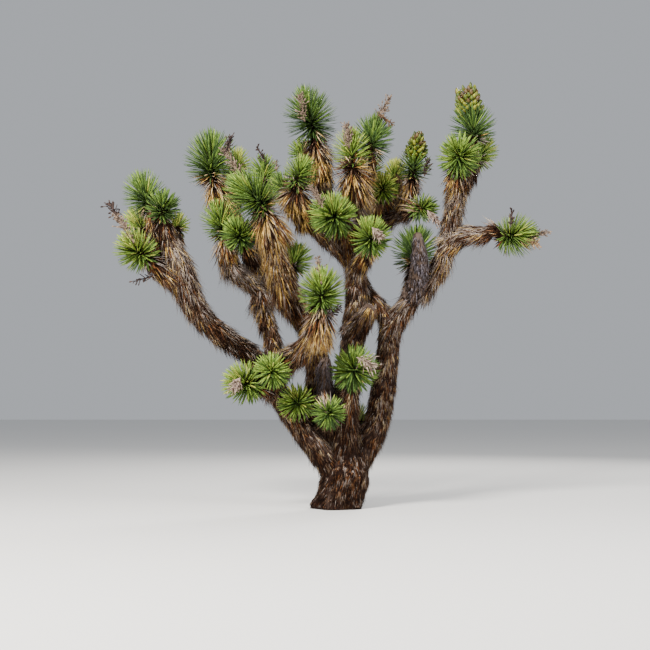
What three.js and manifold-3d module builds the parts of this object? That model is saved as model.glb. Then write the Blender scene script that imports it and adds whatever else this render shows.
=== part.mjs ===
// A joshua tree (Yucca brevifolia): a short trunk, four stems, their boughs and dead stubs, and 37 tufts of
// dagger leaves. Millimetres, +Z up, -Y to the front, the origin at the middle of the cut at ground level.
import * as THREE from 'three';
import { mergeVertices } from 'three/addons/utils/BufferGeometryUtils.js';
import Module from 'manifold-3d';

const wasm = await Module();
wasm.setup();

// Driving dimensions, millimetres
const CLEARANCE = 0.4; // between a limb or a tuft and what it grows from
const LIMB_SIDES = 8; // faces round a limb
const LIMB_STEP = 290; // longest straight stretch of a limb
const TRUNK_RINGS = 5; // stretches of the trunk, which is finer for its flare
const TIP_DOME = 0.35; // how far a limb's blunt tip bulges, in tip radii
const FLARE_HEIGHT = 95; // height over which the root flare dies away
const FLARE = 55; // what the flare adds to the trunk's radius at the ground
const ROOT_LOBES = 5; // buttresses round the flare
const LOBE = 0.09; // how far they stand out, in trunk radii
const TUFT_SIDES = 6; // faces round a tuft's stem
const LEAVES = 14; // leaves tried on each tuft
const LEAF_WIDTH = 50;
const LEAF_THICKNESS = 18;
const HEART = 0.52; // radius of the ball of packed leaf bases, in leaf reaches
const BUD = 0.6; // how far the ball's top lies ahead of its middle, in leaf reaches
const LEAF_ROOT = 0.36; // where a leaf's broad foot is sunk in the ball, in leaf lengths from the stem
const SKIRT = 1.2; // how far the dead leaves under a tuft stand out, in stem radii
const SHORTER_LEAF = 0.78; // a leaf that has no room is tried once more at this share of its length
const LEAST_REACH = 0.93; // the shortest leaf of a tuft, as a share of the longest
const TOP_LEAN = 14; // how far the top leaf leans from the stem's direction, in degrees
const LEAN_RANGE = 108; // and how much further the lowest one does
const SPACE_MARGIN = 12; // between a leaf and the edge of its tuft's own space
const LIMB_MARGIN = 12; // between a leaf and any limb or stem
const TIP_STEM = 1.05; // radius of a stem that carries a limb's tip on, in limb radii
const SIDE_STEM = 0.8; // and of a stem from a limb's side
const STEM_LIFT = 0.15; // how far a stem from a limb's side bends up, in stem lengths
const RUN_ON = 0.45; // how far a stem from a limb's tip runs straight on, in stem lengths
const GOLDEN_ANGLE = Math.PI * (3 - Math.sqrt(5));

// Each limb: the limb that carries it, how far along that one it starts (0 to 1), where it bends and ends,
// and its radii at even distances from root to tip.
const LIMBS = {
  trunk: { bends: [[0, 0, 0], [40, 0, 180], [90, 15, 380], [95, 30, 470]], radii: [195, 205, 226, 170] },
  stem_middle: {
    on: 'trunk', at: 0.6,
    bends: [[75, -60, 700], [80, -20, 1060], [120, 30, 1400], [160, 80, 1780], [180, 100, 2120],
      [170, 100, 2380]],
    radii: [130, 126, 128, 112, 104, 98],
  },
  stem_right: {
    on: 'trunk', at: 0.45,
    bends: [[250, 100, 540], [375, 120, 810], [435, 120, 1120], [480, 100, 1450], [510, 100, 1790]],
    radii: [140, 132, 126, 116, 108],
  },
  stem_left: {
    on: 'trunk', at: 0.5,
    bends: [[-265, -80, 660], [-470, -130, 940], [-650, -170, 1210]],
    radii: [130, 120, 110, 100],
  },
  stem_inner: {
    on: 'trunk', at: 0.7,
    bends: [[-110, 70, 735], [-160, 30, 1065], [-185, -40, 1415]],
    radii: [105, 125, 136, 112],
  },
  bough_far_left: {
    on: 'stem_left', at: 0.93,
    bends: [[-820, -200, 1455], [-1025, -220, 1595], [-1230, -250, 1765], [-1360, -270, 1950],
      [-1455, -280, 2180], [-1605, -270, 2550]],
    radii: [90, 94, 96, 110, 138, 90],
  },
  bough_upright_left: {
    on: 'stem_left', at: 0.95,
    bends: [[-610, -60, 1470], [-660, 20, 1730], [-740, 100, 2010], [-780, 160, 2270], [-820, 200, 2520]],
    radii: [92, 88, 84, 80, 80],
  },
  bough_front: {
    on: 'stem_inner', at: 0.93,
    bends: [[-270, -200, 1710], [-455, -340, 1960], [-560, -440, 2260], [-625, -500, 2620]],
    radii: [95, 104, 118, 135, 100],
  },
  bough_front_low: {
    on: 'stem_left', at: 0.95,
    bends: [[-470, -400, 1385], [-300, -580, 1495], [-175, -680, 1680]],
    radii: [84, 100, 112, 80],
  },
  bough_mid_left: {
    on: 'stem_middle', at: 0.98,
    bends: [[25, 150, 2495], [-160, 170, 2655], [-335, 130, 2835]],
    radii: [84, 82, 84, 76],
  },
  bough_mid_top: {
    on: 'bough_mid_left', at: 0.35,
    bends: [[-70, 300, 2780], [-120, 420, 3050], [-160, 500, 3300]],
    radii: [74, 72, 76, 78],
  },
  bough_mid_front: {
    on: 'stem_middle', at: 0.95,
    bends: [[235, 50, 2620], [210, -20, 2860], [170, -80, 3040]],
    radii: [84, 80, 78, 78],
  },
  bough_left_low: {
    on: 'bough_upright_left', at: 0.7,
    bends: [[-935, 70, 2225], [-1040, 20, 2325], [-1065, -20, 2465]],
    radii: [78, 84, 84, 72],
  },
  bough_left_high: {
    on: 'bough_upright_left', at: 0.95,
    bends: [[-920, 140, 2660], [-1040, 100, 2830], [-1110, 70, 2940]],
    radii: [72, 72, 72, 74],
  },
  bough_back_left: {
    on: 'bough_upright_left', at: 0.95,
    bends: [[-780, 460, 2760], [-750, 720, 3020]],
    radii: [74, 70, 68],
  },
  bough_back: {
    on: 'stem_right', at: 0.97,
    bends: [[395, 220, 1940], [265, 360, 2110], [200, 500, 2330], [270, 620, 2565], [355, 700, 2760]],
    radii: [86, 82, 78, 74, 74],
  },
  bough_back_right: {
    on: 'bough_back', at: 0.96,
    bends: [[490, 620, 2830], [650, 500, 2890]],
    radii: [70, 66, 64],
  },
  bough_right: {
    on: 'stem_right', at: 0.94,
    bends: [[640, 80, 1900], [800, 30, 2080], [950, -20, 2260], [1040, -60, 2490], [1080, -100, 2720],
      [1150, -140, 3060]],
    radii: [98, 98, 96, 96, 92, 90, 88],
  },
  bough_side_right: {
    on: 'bough_right', at: 0.64,
    bends: [[1215, -100, 2590], [1365, -120, 2595], [1475, -140, 2615]],
    radii: [104, 92, 80, 66],
  },
  stub_grey: {
    on: 'bough_right', at: 0.27,
    bends: [[770, -200, 2310], [745, -300, 2545]],
    radii: [110, 100, 88, 72, 44],
  },
  stub_inner: {
    on: 'stem_inner', at: 0.45,
    bends: [[-130, -110, 1130], [-120, -150, 1380]],
    radii: [75, 72, 55],
  },
  stub_middle: {
    on: 'stem_middle', at: 0.66,
    bends: [[250, -30, 1795], [325, -70, 1910]],
    radii: [105, 92, 62],
  },
};

// Each tuft: the limb that carries it, where along that one it starts, the middle of its ball of leaves and
// how far they reach. Some stems have a lift of their own, or a point, bend, that they head for at first.
const TUFTS = {
  far_left_1: { on: 'bough_far_left', at: 0.86, centre: [-1825, -200, 2975], reach: 212 },
  far_left_2: { on: 'bough_far_left', at: 1, centre: [-1615, -420, 2805], reach: 170 },
  far_left_3: {
    on: 'bough_far_left', at: 0.72, centre: [-1860, -500, 2400], reach: 200, bend: [-1760, -360, 2300],
  },
  far_left_4: { on: 'bough_far_left', at: 0.8, centre: [-1925, 110, 2735], reach: 165 },
  far_left_5: { on: 'bough_far_left', at: 0.92, centre: [-1550, 130, 2720], reach: 130 },
  left_1: { on: 'bough_left_high', at: 1, centre: [-1215, 20, 3360], reach: 262 },
  left_2: { on: 'bough_left_high', at: 0.7, centre: [-990, 350, 3365], reach: 152 },
  left_3: { on: 'bough_front', at: 1, centre: [-805, -580, 2900], reach: 250 },
  left_4: { on: 'bough_left_low', at: 1, centre: [-1120, -60, 2740], reach: 195 },
  left_5: {
    on: 'bough_upright_left', at: 0.85, centre: [-930, -280, 2570], reach: 175, bend: [-885, -130, 2500],
  },
  left_6: { on: 'bough_back_left', at: 1, centre: [-750, 940, 3390], reach: 175 },
  middle_1: { on: 'bough_mid_top', at: 1, centre: [-280, 520, 3905], reach: 265 },
  middle_2: { on: 'bough_mid_left', at: 1, centre: [-350, -50, 3200], reach: 175 },
  middle_3: { on: 'bough_mid_left', at: 0.85, centre: [-540, 480, 3140], reach: 165 },
  middle_4: { on: 'bough_mid_top', at: 0.75, centre: [-365, 850, 3575], reach: 145 },
  middle_5: { on: 'bough_mid_front', at: 1, centre: [130, -150, 3410], reach: 195 },
  middle_6: { on: 'bough_mid_front', at: 0.9, centre: [350, 130, 3590], reach: 215 },
  middle_7: { on: 'stem_middle', at: 1, centre: [-60, -320, 2740], reach: 225 },
  middle_8: { on: 'stem_middle', at: 0.95, centre: [305, -300, 2550], reach: 200, bend: [315, -130, 2460] },
  back_1: { on: 'bough_back', at: 1, centre: [450, 300, 3110], reach: 165 },
  back_2: { on: 'bough_back', at: 0.94, centre: [340, 830, 3410], reach: 165 },
  back_3: { on: 'bough_back_right', at: 0.55, centre: [610, 930, 3370], reach: 155 },
  back_4: { on: 'bough_back_right', at: 1, centre: [770, 420, 3370], reach: 175, bend: [735, 460, 3100] },
  back_5: { on: 'bough_back_right', at: 0.95, centre: [850, 250, 2890], reach: 150, lift: 0 },
  back_6: { on: 'bough_right', at: 0.2, centre: [770, 330, 2510], reach: 235 },
  front_1: { on: 'bough_front', at: 0.62, centre: [-400, -80, 2360], reach: 175 },
  front_2: { on: 'bough_front_low', at: 1, centre: [-150, -780, 2010], reach: 215, bend: [-150, -650, 1840] },
  right_1: { on: 'bough_right', at: 1, centre: [1290, -50, 3660], reach: 220, bend: [1330, -80, 3400] },
  right_2: { on: 'bough_right', at: 0.9, centre: [1130, -420, 3290], reach: 210, bend: [1120, -190, 3220] },
  right_3: { on: 'bough_right', at: 0.97, centre: [1410, 250, 3455], reach: 175 },
  right_4: { on: 'bough_side_right', at: 1, centre: [1700, -170, 2570], reach: 205, bend: [1550, -70, 2550] },
  low_1: { on: 'stem_left', at: 0.93, centre: [-870, -480, 1180], reach: 200, bend: [-770, -320, 1140] },
  low_2: { on: 'stem_left', at: 0.98, centre: [-600, -560, 1280], reach: 180, bend: [-600, -385, 1255] },
  low_3: { on: 'stem_inner', at: 0.5, centre: [-395, -280, 1000], reach: 180, bend: [-305, -125, 980] },
  low_4: { on: 'stem_inner', at: 0.42, centre: [-80, -470, 905], reach: 160, lift: 0 },
  low_5: { on: 'stem_middle', at: 0.2, centre: [160, -440, 1310], reach: 220, bend: [105, -240, 1235] },
  low_6: { on: 'stem_right', at: 0.3, centre: [210, 340, 860], reach: 135 },
};

// Dried flower stalks of past years, by the tuft that each stands on and where it ends
const STALK_RADIUS = 9;
const STUB_LENGTH = 37; // of the side branches that a dried stalk has left
const STUB_PLACES = [0.8, 0.94]; // where they stand along it
const STALK_TIPS = {
  far_left_3: [[-2150, -300, 2855]],
  left_2: [[-1040, 330, 3620]],
  left_6: [[-810, 940, 3630], [-620, 900, 3460]],
  middle_1: [[-360, 500, 4040]],
  middle_6: [[490, 90, 3930], [560, 90, 3690]],
  back_5: [[990, 180, 2800]],
  front_2: [[-180, -760, 2310]],
  right_4: [[1960, -200, 2600], [1610, -300, 2790]],
  low_5: [[330, -560, 1390]],
};

// Flower heads, by the tuft that each stands on: the height and width of its cone, and its rings of buds
const FLOWER_HEADS = {
  right_1: { height: 300, width: 270, rings: 4 },
  back_4: { height: 250, width: 190, rings: 3 },
};
const BUD_LENGTH = 62;
const BUD_WIDTH = 40;
const BUDS_IN_RING = 6;
const BUD_SHOWS = 0.35; // share of a bud that stands out of the cone's middle
const HEAD_OUTLINE = [0.6, 1, 0.9, 0.72, 0.4]; // radius of the cone from foot to tip, in half widths

const FINISHES = {
  bark: { color: 0x6b4f3d, roughness: 0.95, metalness: 0 },
  grey: { color: 0x7d7268, roughness: 0.9, metalness: 0 },
  leaf: { color: 0x6f8f3a, roughness: 0.55, metalness: 0 },
  bloom: { color: 0x97a84e, roughness: 0.6, metalness: 0 },
};

const vector = ([x, y, z]) => new THREE.Vector3(x, y, z);

// A seeded run of numbers from 0 to 1, so that the tree comes out the same each time
function seeded(seed) {
  let state = seed;
  return () => {
    state = (Math.imul(state, 1664525) + 1013904223) >>> 0;
    return state / 2 ** 32;
  };
}

// A value read off an evenly spaced list, straight between its entries
function along(list, share) {
  const place = Math.min(Math.max(share, 0), 1) * (list.length - 1);
  const i = Math.min(Math.floor(place), list.length - 2);
  return THREE.MathUtils.lerp(list[i], list[i + 1], place - i);
}

// A closed geometry as a solid that can be joined and cut
function solidOf(geometry) {
  geometry.deleteAttribute('normal');
  geometry.deleteAttribute('uv');
  const merged = mergeVertices(geometry);
  return new wasm.Manifold(new wasm.Mesh({
    numProp: 3,
    vertProperties: merged.getAttribute('position').array,
    triVerts: new Uint32Array(merged.index.array),
  }));
}

// The largest body of a solid, as a named mesh: a scrap that a cut leaves loose is dropped
function meshOf(name, solid, finish) {
  const body = solid.decompose().reduce((best, piece) => (piece.volume() > best.volume() ? piece : best));
  const { vertProperties, triVerts } = body.getMesh();
  const geometry = new THREE.BufferGeometry();
  geometry.setAttribute('position', new THREE.BufferAttribute(vertProperties, 3));
  geometry.setIndex(new THREE.BufferAttribute(triVerts, 1));
  geometry.computeVertexNormals();
  const mesh = new THREE.Mesh(geometry, new THREE.MeshStandardMaterial(FINISHES[finish]));
  mesh.name = name;
  return mesh;
}

// A closed cylinder bent along a path, with rings at the given shares of the path, where radiusAt(share,
// angle) is its radius. The middle of its far end stands out by dome, grow thickens it all over, and a flat
// foot lies at z = 0.
const FRAME_STEPS = 60;
function sweep(path, stations, sides, radiusAt, { dome = 0, grow = 0, flatFoot = false } = {}) {
  const lastRing = stations.length - 1;
  const geometry = new THREE.CylinderGeometry(1, 1, 1, sides, lastRing);
  const positions = geometry.getAttribute('position');
  const frames = path.computeFrenetFrames(FRAME_STEPS);
  for (let i = 0; i < positions.count; i += 1) {
    const ring = Math.round((positions.getY(i) + 0.5) * lastRing);
    const frame = Math.round(stations[ring] * FRAME_STEPS);
    const x = positions.getX(i);
    const z = positions.getZ(i);
    const onAxis = Math.hypot(x, z) < 0.5;
    const radius = onAxis ? 0 : radiusAt(stations[ring], Math.atan2(z, x)) + grow;
    const point = path.getPointAt(stations[ring])
      .addScaledVector(frames.normals[frame], x * radius)
      .addScaledVector(frames.binormals[frame], -z * radius);
    if (ring === 0) point.addScaledVector(frames.tangents[frame], -grow);
    if (ring === lastRing) point.addScaledVector(frames.tangents[frame], grow + (onAxis ? dome : 0));
    if (ring === 0 && flatFoot) point.z = 0;
    positions.setXYZ(i, point.x, point.y, point.z);
  }
  return geometry;
}

const evenStations = (count) => Array.from({ length: count + 1 }, (_, i) => i / count);

// Limbs

const paths = {};
for (const [name, limb] of Object.entries(LIMBS)) {
  const start = limb.on ? [paths[limb.on].getPointAt(limb.at)] : [];
  paths[name] = new THREE.CatmullRomCurve3([...start, ...limb.bends.map(vector)], false, 'centripetal');
}

// The trunk's radius: its taper, with a flare and buttresses that die away above the ground
function trunkRadius(share, angle) {
  const fade = Math.exp(-share * paths.trunk.getLength() / FLARE_HEIGHT);
  return along(LIMBS.trunk.radii, share) * (1 + LOBE * fade * Math.cos(ROOT_LOBES * angle)) + FLARE * fade;
}

// A limb as a closed solid, or the same limb grown all over, for the clearance that its neighbours keep
function limbSolid(name, grow) {
  const { radii } = LIMBS[name];
  const path = paths[name];
  if (name === 'trunk') {
    const stations = evenStations(TRUNK_RINGS);
    return solidOf(sweep(path, stations, 2 * LIMB_SIDES, trunkRadius, { grow, flatFoot: true }));
  }
  const stations = evenStations(Math.max(2, Math.ceil(path.getLength() / LIMB_STEP)));
  const dome = TIP_DOME * radii.at(-1);
  return solidOf(sweep(path, stations, LIMB_SIDES, (share) => along(radii, share), { dome, grow }));
}

const tree = new THREE.Group();
const cutters = [];
for (const name of Object.keys(LIMBS)) {
  const solid = cutters.reduce((rest, cutter) => rest.subtract(cutter), limbSolid(name, 0));
  cutters.push(limbSolid(name, CLEARANCE));
  tree.add(meshOf(name, solid, name.startsWith('stub') ? 'grey' : 'bark'));
}

// Tufts

// A tuft's stem leaves its limb, bends up towards the light and runs on through the middle of the leaves
function tuftPath(tuft) {
  const limb = paths[tuft.on];
  const root = limb.getPointAt(tuft.at);
  const centre = vector(tuft.centre);
  const length = root.distanceTo(centre);
  const lift = new THREE.Vector3(0, 0, (tuft.lift ?? STEM_LIFT) * length);
  let bend = root.clone().lerp(centre, 0.5).sub(lift);
  if (tuft.at === 1) bend = limb.getTangentAt(1).multiplyScalar(RUN_ON * length).add(root);
  if (tuft.bend) bend = vector(tuft.bend);
  const axis = centre.clone().sub(bend).normalize();
  const middle = new THREE.QuadraticBezierCurve3(root, bend, centre).getPoint(0.5);
  const bud = centre.clone().addScaledVector(axis, BUD * tuft.reach);
  return { path: new THREE.CatmullRomCurve3([root, middle, centre, bud]), axis, centre };
}

const tufts = Object.entries(TUFTS).map(([name, tuft], number) => {
  const rootRadius = along(LIMBS[tuft.on].radii, tuft.at) * (tuft.at === 1 ? TIP_STEM : SIDE_STEM);
  return { name, number, ...tuft, rootRadius, ...tuftPath(tuft) };
});

// The stem of a tuft with its skirt of dead leaves, swelling to the ball of packed bases of the live ones.
// The ball's outline gives places ahead of its middle, in leaf reaches, and radii, in ball radii.
const BALL_OUTLINE = [[-0.62, 0.6], [-0.3, 0.95], [0.15, 1], [0.48, 0.62], [BUD, 0.15]];
function tuftBody(tuft, grow) {
  const length = tuft.path.getLength();
  const ball = BALL_OUTLINE.map(([ahead, swell]) => (
    [1 + (ahead - BUD) * tuft.reach / length, swell * HEART * tuft.reach]));
  const rings = [[0, tuft.rootRadius], [0.5 * ball[0][0], SKIRT * tuft.rootRadius], ...ball];
  const radii = new Map(rings);
  return sweep(tuft.path, [...radii.keys()], TUFT_SIDES, (share) => radii.get(share), { grow });
}

// Balls along every limb and stem, which a leaf must keep clear of
const BALL_STEP = 50;
const obstacles = [];
function addObstacles(owner, path, radiusAt) {
  for (const share of evenStations(Math.ceil(path.getLength() / BALL_STEP))) {
    obstacles.push({ centre: path.getPointAt(share), radius: radiusAt(share), owner });
  }
}
for (const [name, path] of Object.entries(paths)) {
  addObstacles(name, path, (share) => along(LIMBS[name].radii, share));
}
for (const tuft of tufts) {
  addObstacles(tuft.name, tuft.path, (share) => (share < 0.6 ? SKIRT * tuft.rootRadius : HEART * tuft.reach));
}

// How far a point lies inside a tuft's own space, which ends at the plane between its ball and each other one
function depthInSpace(point, tuft) {
  let depth = Infinity;
  for (const other of tufts) {
    if (other === tuft) continue;
    const toOther = point.distanceToSquared(other.centre) - other.reach ** 2;
    const toOwn = point.distanceToSquared(tuft.centre) - tuft.reach ** 2;
    depth = Math.min(depth, (toOther - toOwn) / (2 * tuft.centre.distanceTo(other.centre)));
  }
  return depth;
}

// Whether a leaf stays in its tuft's own space and clear of every limb and of the other stems
const TESTED_SHARES = [0.45, 0.65, 0.85, 1];
function hasRoom(root, tip, tuft) {
  if (depthInSpace(tip, tuft) < SPACE_MARGIN || depthInSpace(root, tuft) < SPACE_MARGIN) return false;
  return TESTED_SHARES.every((share) => {
    const point = root.clone().lerp(tip, share);
    return obstacles.every(({ centre, radius, owner }) => (
      owner === tuft.name || point.distanceTo(centre) > radius + LIMB_MARGIN));
  });
}

// A pointed blade from root to tip, flat side towards the stem
function blade(root, tip, axis, width, thickness) {
  const direction = tip.clone().sub(root);
  const length = direction.length();
  direction.normalize();
  const across = new THREE.Vector3().crossVectors(direction, axis);
  if (across.length() < 0.05) across.crossVectors(direction, new THREE.Vector3(1, 0, 0));
  across.normalize();
  const through = new THREE.Vector3().crossVectors(across, direction);
  const cone = new THREE.ConeGeometry(0.5, 1, 3);
  cone.translate(0, 0.5, 0);
  cone.scale(width, length, thickness);
  cone.applyMatrix4(new THREE.Matrix4().makeBasis(across, direction, through).setPosition(root));
  return solidOf(cone);
}

// Live leaves stand round the stem by the golden angle, from straight on at the bud to a little backwards
function leaves(tuft) {
  const random = seeded(101 + 7 * tuft.number);
  const turn = 2 * Math.PI * random();
  const side = new THREE.Vector3().crossVectors(tuft.axis, new THREE.Vector3(0.3, 1, 0.2)).normalize();
  const blades = [];
  for (let i = 0; i < LEAVES; i += 1) {
    const share = (i + 0.5) / LEAVES;
    const lean = THREE.MathUtils.degToRad(TOP_LEAN + LEAN_RANGE * share ** 0.8);
    const out = side.clone().applyAxisAngle(tuft.axis, turn + i * GOLDEN_ANGLE);
    const root = tuft.centre.clone()
      .addScaledVector(tuft.axis, (0.3 - 0.6 * share) * tuft.reach)
      .addScaledVector(out, 0.12 * tuft.reach * Math.sin(lean));
    const reach = tuft.reach * THREE.MathUtils.lerp(LEAST_REACH, 1, random());
    const full = tuft.centre.clone()
      .addScaledVector(tuft.axis, reach * Math.cos(lean))
      .addScaledVector(out, reach * Math.sin(lean));
    const tip = [full, root.clone().lerp(full, SHORTER_LEAF)].find((end) => hasRoom(root, end, tuft));
    if (tip) blades.push(blade(root.lerp(tip, LEAF_ROOT), tip, tuft.axis, LEAF_WIDTH, LEAF_THICKNESS));
  }
  return blades;
}

// A dried flower stalk: a bent stick with a few stubs of its side branches
function stalk(tuft, end) {
  const tip = vector(end);
  const root = tuft.centre.clone();
  const middle = root.clone().lerp(tip, 0.55).add(new THREE.Vector3(0, 0, 0.06 * root.distanceTo(tip)));
  const path = new THREE.CatmullRomCurve3([root, middle, tip]);
  const pieces = [solidOf(sweep(path, evenStations(4), 4, (share) => STALK_RADIUS * (1.3 - 0.7 * share)))];
  for (const [i, share] of STUB_PLACES.entries()) {
    const from = path.getPointAt(share);
    const tangent = path.getTangentAt(share);
    const out = new THREE.Vector3().crossVectors(tangent, new THREE.Vector3(0, 1, 0)).normalize()
      .applyAxisAngle(tangent, i * GOLDEN_ANGLE)
      .addScaledVector(tangent, 0.4)
      .normalize();
    const to = from.clone().addScaledVector(out, STUB_LENGTH);
    pieces.push(blade(from, to, tangent, 1.6 * STALK_RADIUS, STALK_RADIUS));
  }
  return pieces;
}

// A flower head: a cone of waxy buds in rings round a thick stalk
function flowerHead(tuft, { height, width, rings }) {
  const base = tuft.centre.clone().addScaledVector(tuft.axis, 0.3 * tuft.reach);
  const tip = base.clone().addScaledVector(tuft.axis, height);
  const core = new THREE.CatmullRomCurve3([base, base.clone().lerp(tip, 0.5), tip]);
  const coneRadius = (share) => 0.5 * width * along(HEAD_OUTLINE, share);
  const coreRadius = (share) => coneRadius(share) - BUD_SHOWS * BUD_LENGTH;
  const pieces = [solidOf(sweep(core, evenStations(HEAD_OUTLINE.length - 1), TUFT_SIDES, coreRadius))];
  const side = new THREE.Vector3().crossVectors(tuft.axis, new THREE.Vector3(0, 1, 0)).normalize();
  for (let ring = 0; ring < rings; ring += 1) {
    const share = 0.15 + 0.7 * ring / (rings - 1);
    for (let i = 0; i < BUDS_IN_RING; i += 1) {
      const out = side.clone().applyAxisAngle(tuft.axis, (i + 0.5 * ring) * 2 * Math.PI / BUDS_IN_RING);
      const middle = core.getPointAt(share);
      const from = middle.clone().addScaledVector(out, coneRadius(share) - BUD_LENGTH);
      const to = middle.addScaledVector(out, coneRadius(share)).addScaledVector(tuft.axis, 0.5 * BUD_LENGTH);
      pieces.push(blade(from, to, tuft.axis, BUD_WIDTH, BUD_WIDTH));
    }
  }
  return pieces;
}

for (const tuft of tufts) {
  const pieces = [
    ...leaves(tuft),
    ...(STALK_TIPS[tuft.name] ?? []).flatMap((end) => stalk(tuft, end)),
    ...(FLOWER_HEADS[tuft.name] ? flowerHead(tuft, FLOWER_HEADS[tuft.name]) : []),
  ];
  const joined = pieces.reduce((whole, piece) => whole.add(piece), solidOf(tuftBody(tuft, 0)));
  const solid = cutters.reduce((rest, cutter) => rest.subtract(cutter), joined);
  cutters.push(solidOf(tuftBody(tuft, CLEARANCE)));
  tree.add(meshOf(`tuft_${tuft.name}`, solid, FLOWER_HEADS[tuft.name] ? 'bloom' : 'leaf'));
}

export default tree;
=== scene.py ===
"""A joshua tree, from the flat cut under its trunk to the buds of its flower heads.

Trunk, stems and boughs are tubes along bent lines with bark relief, thatched with dead leaves that point back
to the ground. Each bough ends in tufts: a stem, a skirt of golden dead leaves and a ball of green daggers.
Everything is in metres, at rest, in the frame of the CAD model.
"""
import math

import bpy
import numpy as np
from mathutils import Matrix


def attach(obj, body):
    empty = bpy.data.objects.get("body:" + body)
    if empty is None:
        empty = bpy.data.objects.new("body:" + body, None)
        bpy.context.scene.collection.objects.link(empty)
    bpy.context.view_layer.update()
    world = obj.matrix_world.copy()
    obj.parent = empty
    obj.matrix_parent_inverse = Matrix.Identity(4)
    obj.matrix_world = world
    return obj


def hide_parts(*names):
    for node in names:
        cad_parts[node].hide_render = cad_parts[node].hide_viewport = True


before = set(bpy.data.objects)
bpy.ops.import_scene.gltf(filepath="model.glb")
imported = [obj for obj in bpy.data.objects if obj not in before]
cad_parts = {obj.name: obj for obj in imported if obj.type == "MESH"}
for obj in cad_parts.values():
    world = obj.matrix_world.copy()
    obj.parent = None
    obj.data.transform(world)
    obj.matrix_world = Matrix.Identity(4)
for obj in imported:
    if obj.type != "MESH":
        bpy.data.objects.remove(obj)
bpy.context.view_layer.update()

# Camera
# It stands at waist height, twelve metres in front of the trunk, and looks a little upwards.
EYE = (-0.12, -12.0, 1.0)
LENS = 69.96
SENSOR_WIDTH = 36.0
FOCAL_LENGTH = 1263  # in the photograph's pixels, as is how far the horizon lies below its middle
HORIZON_DROP = 77
FAR_END = 200.0
camera = bpy.data.objects.new("camera", bpy.data.cameras.new("camera"))
camera.data.lens = LENS
camera.data.sensor_width = SENSOR_WIDTH
camera.data.clip_end = FAR_END
camera.location = EYE
camera.rotation_euler = (math.pi / 2 + math.atan(HORIZON_DROP / FOCAL_LENGTH), 0.0, 0.0)
bpy.context.scene.collection.objects.link(camera)
bpy.context.scene.camera = camera

# Floor and light
# A pale matt floor under a pale sky, a large soft lamp high on the left in front, and two weaker ones.
FLOOR_COLOUR = (0.78, 0.77, 0.75)
FLOOR_HALF = 60.0
SKY_COLOUR = (0.86, 0.90, 0.96)
SKY_STRENGTH = 0.52
LAMPS = (  # name, place, what its beam points at, side, watts, colour
    ("key lamp", (-5.2, -9.2, 8.0), (0.0, 0.0, 2.2), 2.8, 4200.0, (1.0, 0.96, 0.90)),
    ("fill lamp", (7.0, -6.0, 4.0), (0.0, 0.0, 2.0), 4.0, 620.0, (0.97, 0.98, 1.0)),
    ("back lamp", (4.0, 8.0, 7.0), (0.0, 0.0, 2.4), 3.0, 800.0, (1.0, 0.97, 0.92)),
)


def plain_material(name, colour, roughness, gloss=0.5):
    """A Principled surface with one colour, roughness and gloss. Returns it and its Principled node."""
    made = bpy.data.materials.new(name)
    made.use_nodes = True
    shader = made.node_tree.nodes["Principled BSDF"]
    shader.inputs["Base Color"].default_value = (*colour, 1.0)
    shader.inputs["Roughness"].default_value = roughness
    shader.inputs["Specular IOR Level"].default_value = gloss
    return made, shader


floor_mesh = bpy.data.meshes.new("floor")
floor_mesh.from_pydata([(x * FLOOR_HALF, y * FLOOR_HALF, 0.0) for x, y in ((-1, -1), (1, -1), (1, 1), (-1, 1))],
                       [], [(0, 1, 2, 3)])
floor_mesh.materials.append(plain_material("pale floor", FLOOR_COLOUR, 0.9)[0])
floor = bpy.data.objects.new("floor", floor_mesh)
bpy.context.scene.collection.objects.link(floor)
world = bpy.data.worlds.new("pale sky")
world.use_nodes = True
world.node_tree.nodes["Background"].inputs["Color"].default_value = (*SKY_COLOUR, 1.0)
world.node_tree.nodes["Background"].inputs["Strength"].default_value = SKY_STRENGTH
bpy.context.scene.world = world
for name, place, target, size, watts, colour in LAMPS:
    data = bpy.data.lights.new(name, "AREA")
    data.size = size
    data.energy = watts
    data.color = colour
    lamp = bpy.data.objects.new(name, data)
    lamp.location = place
    beam = np.subtract(target, place)
    tilt = math.atan2(math.hypot(beam[0], beam[1]), -beam[2])
    lamp.rotation_euler = (tilt, 0.0, math.atan2(-beam[0], beam[1]))
    bpy.context.scene.collection.objects.link(lamp)

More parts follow.
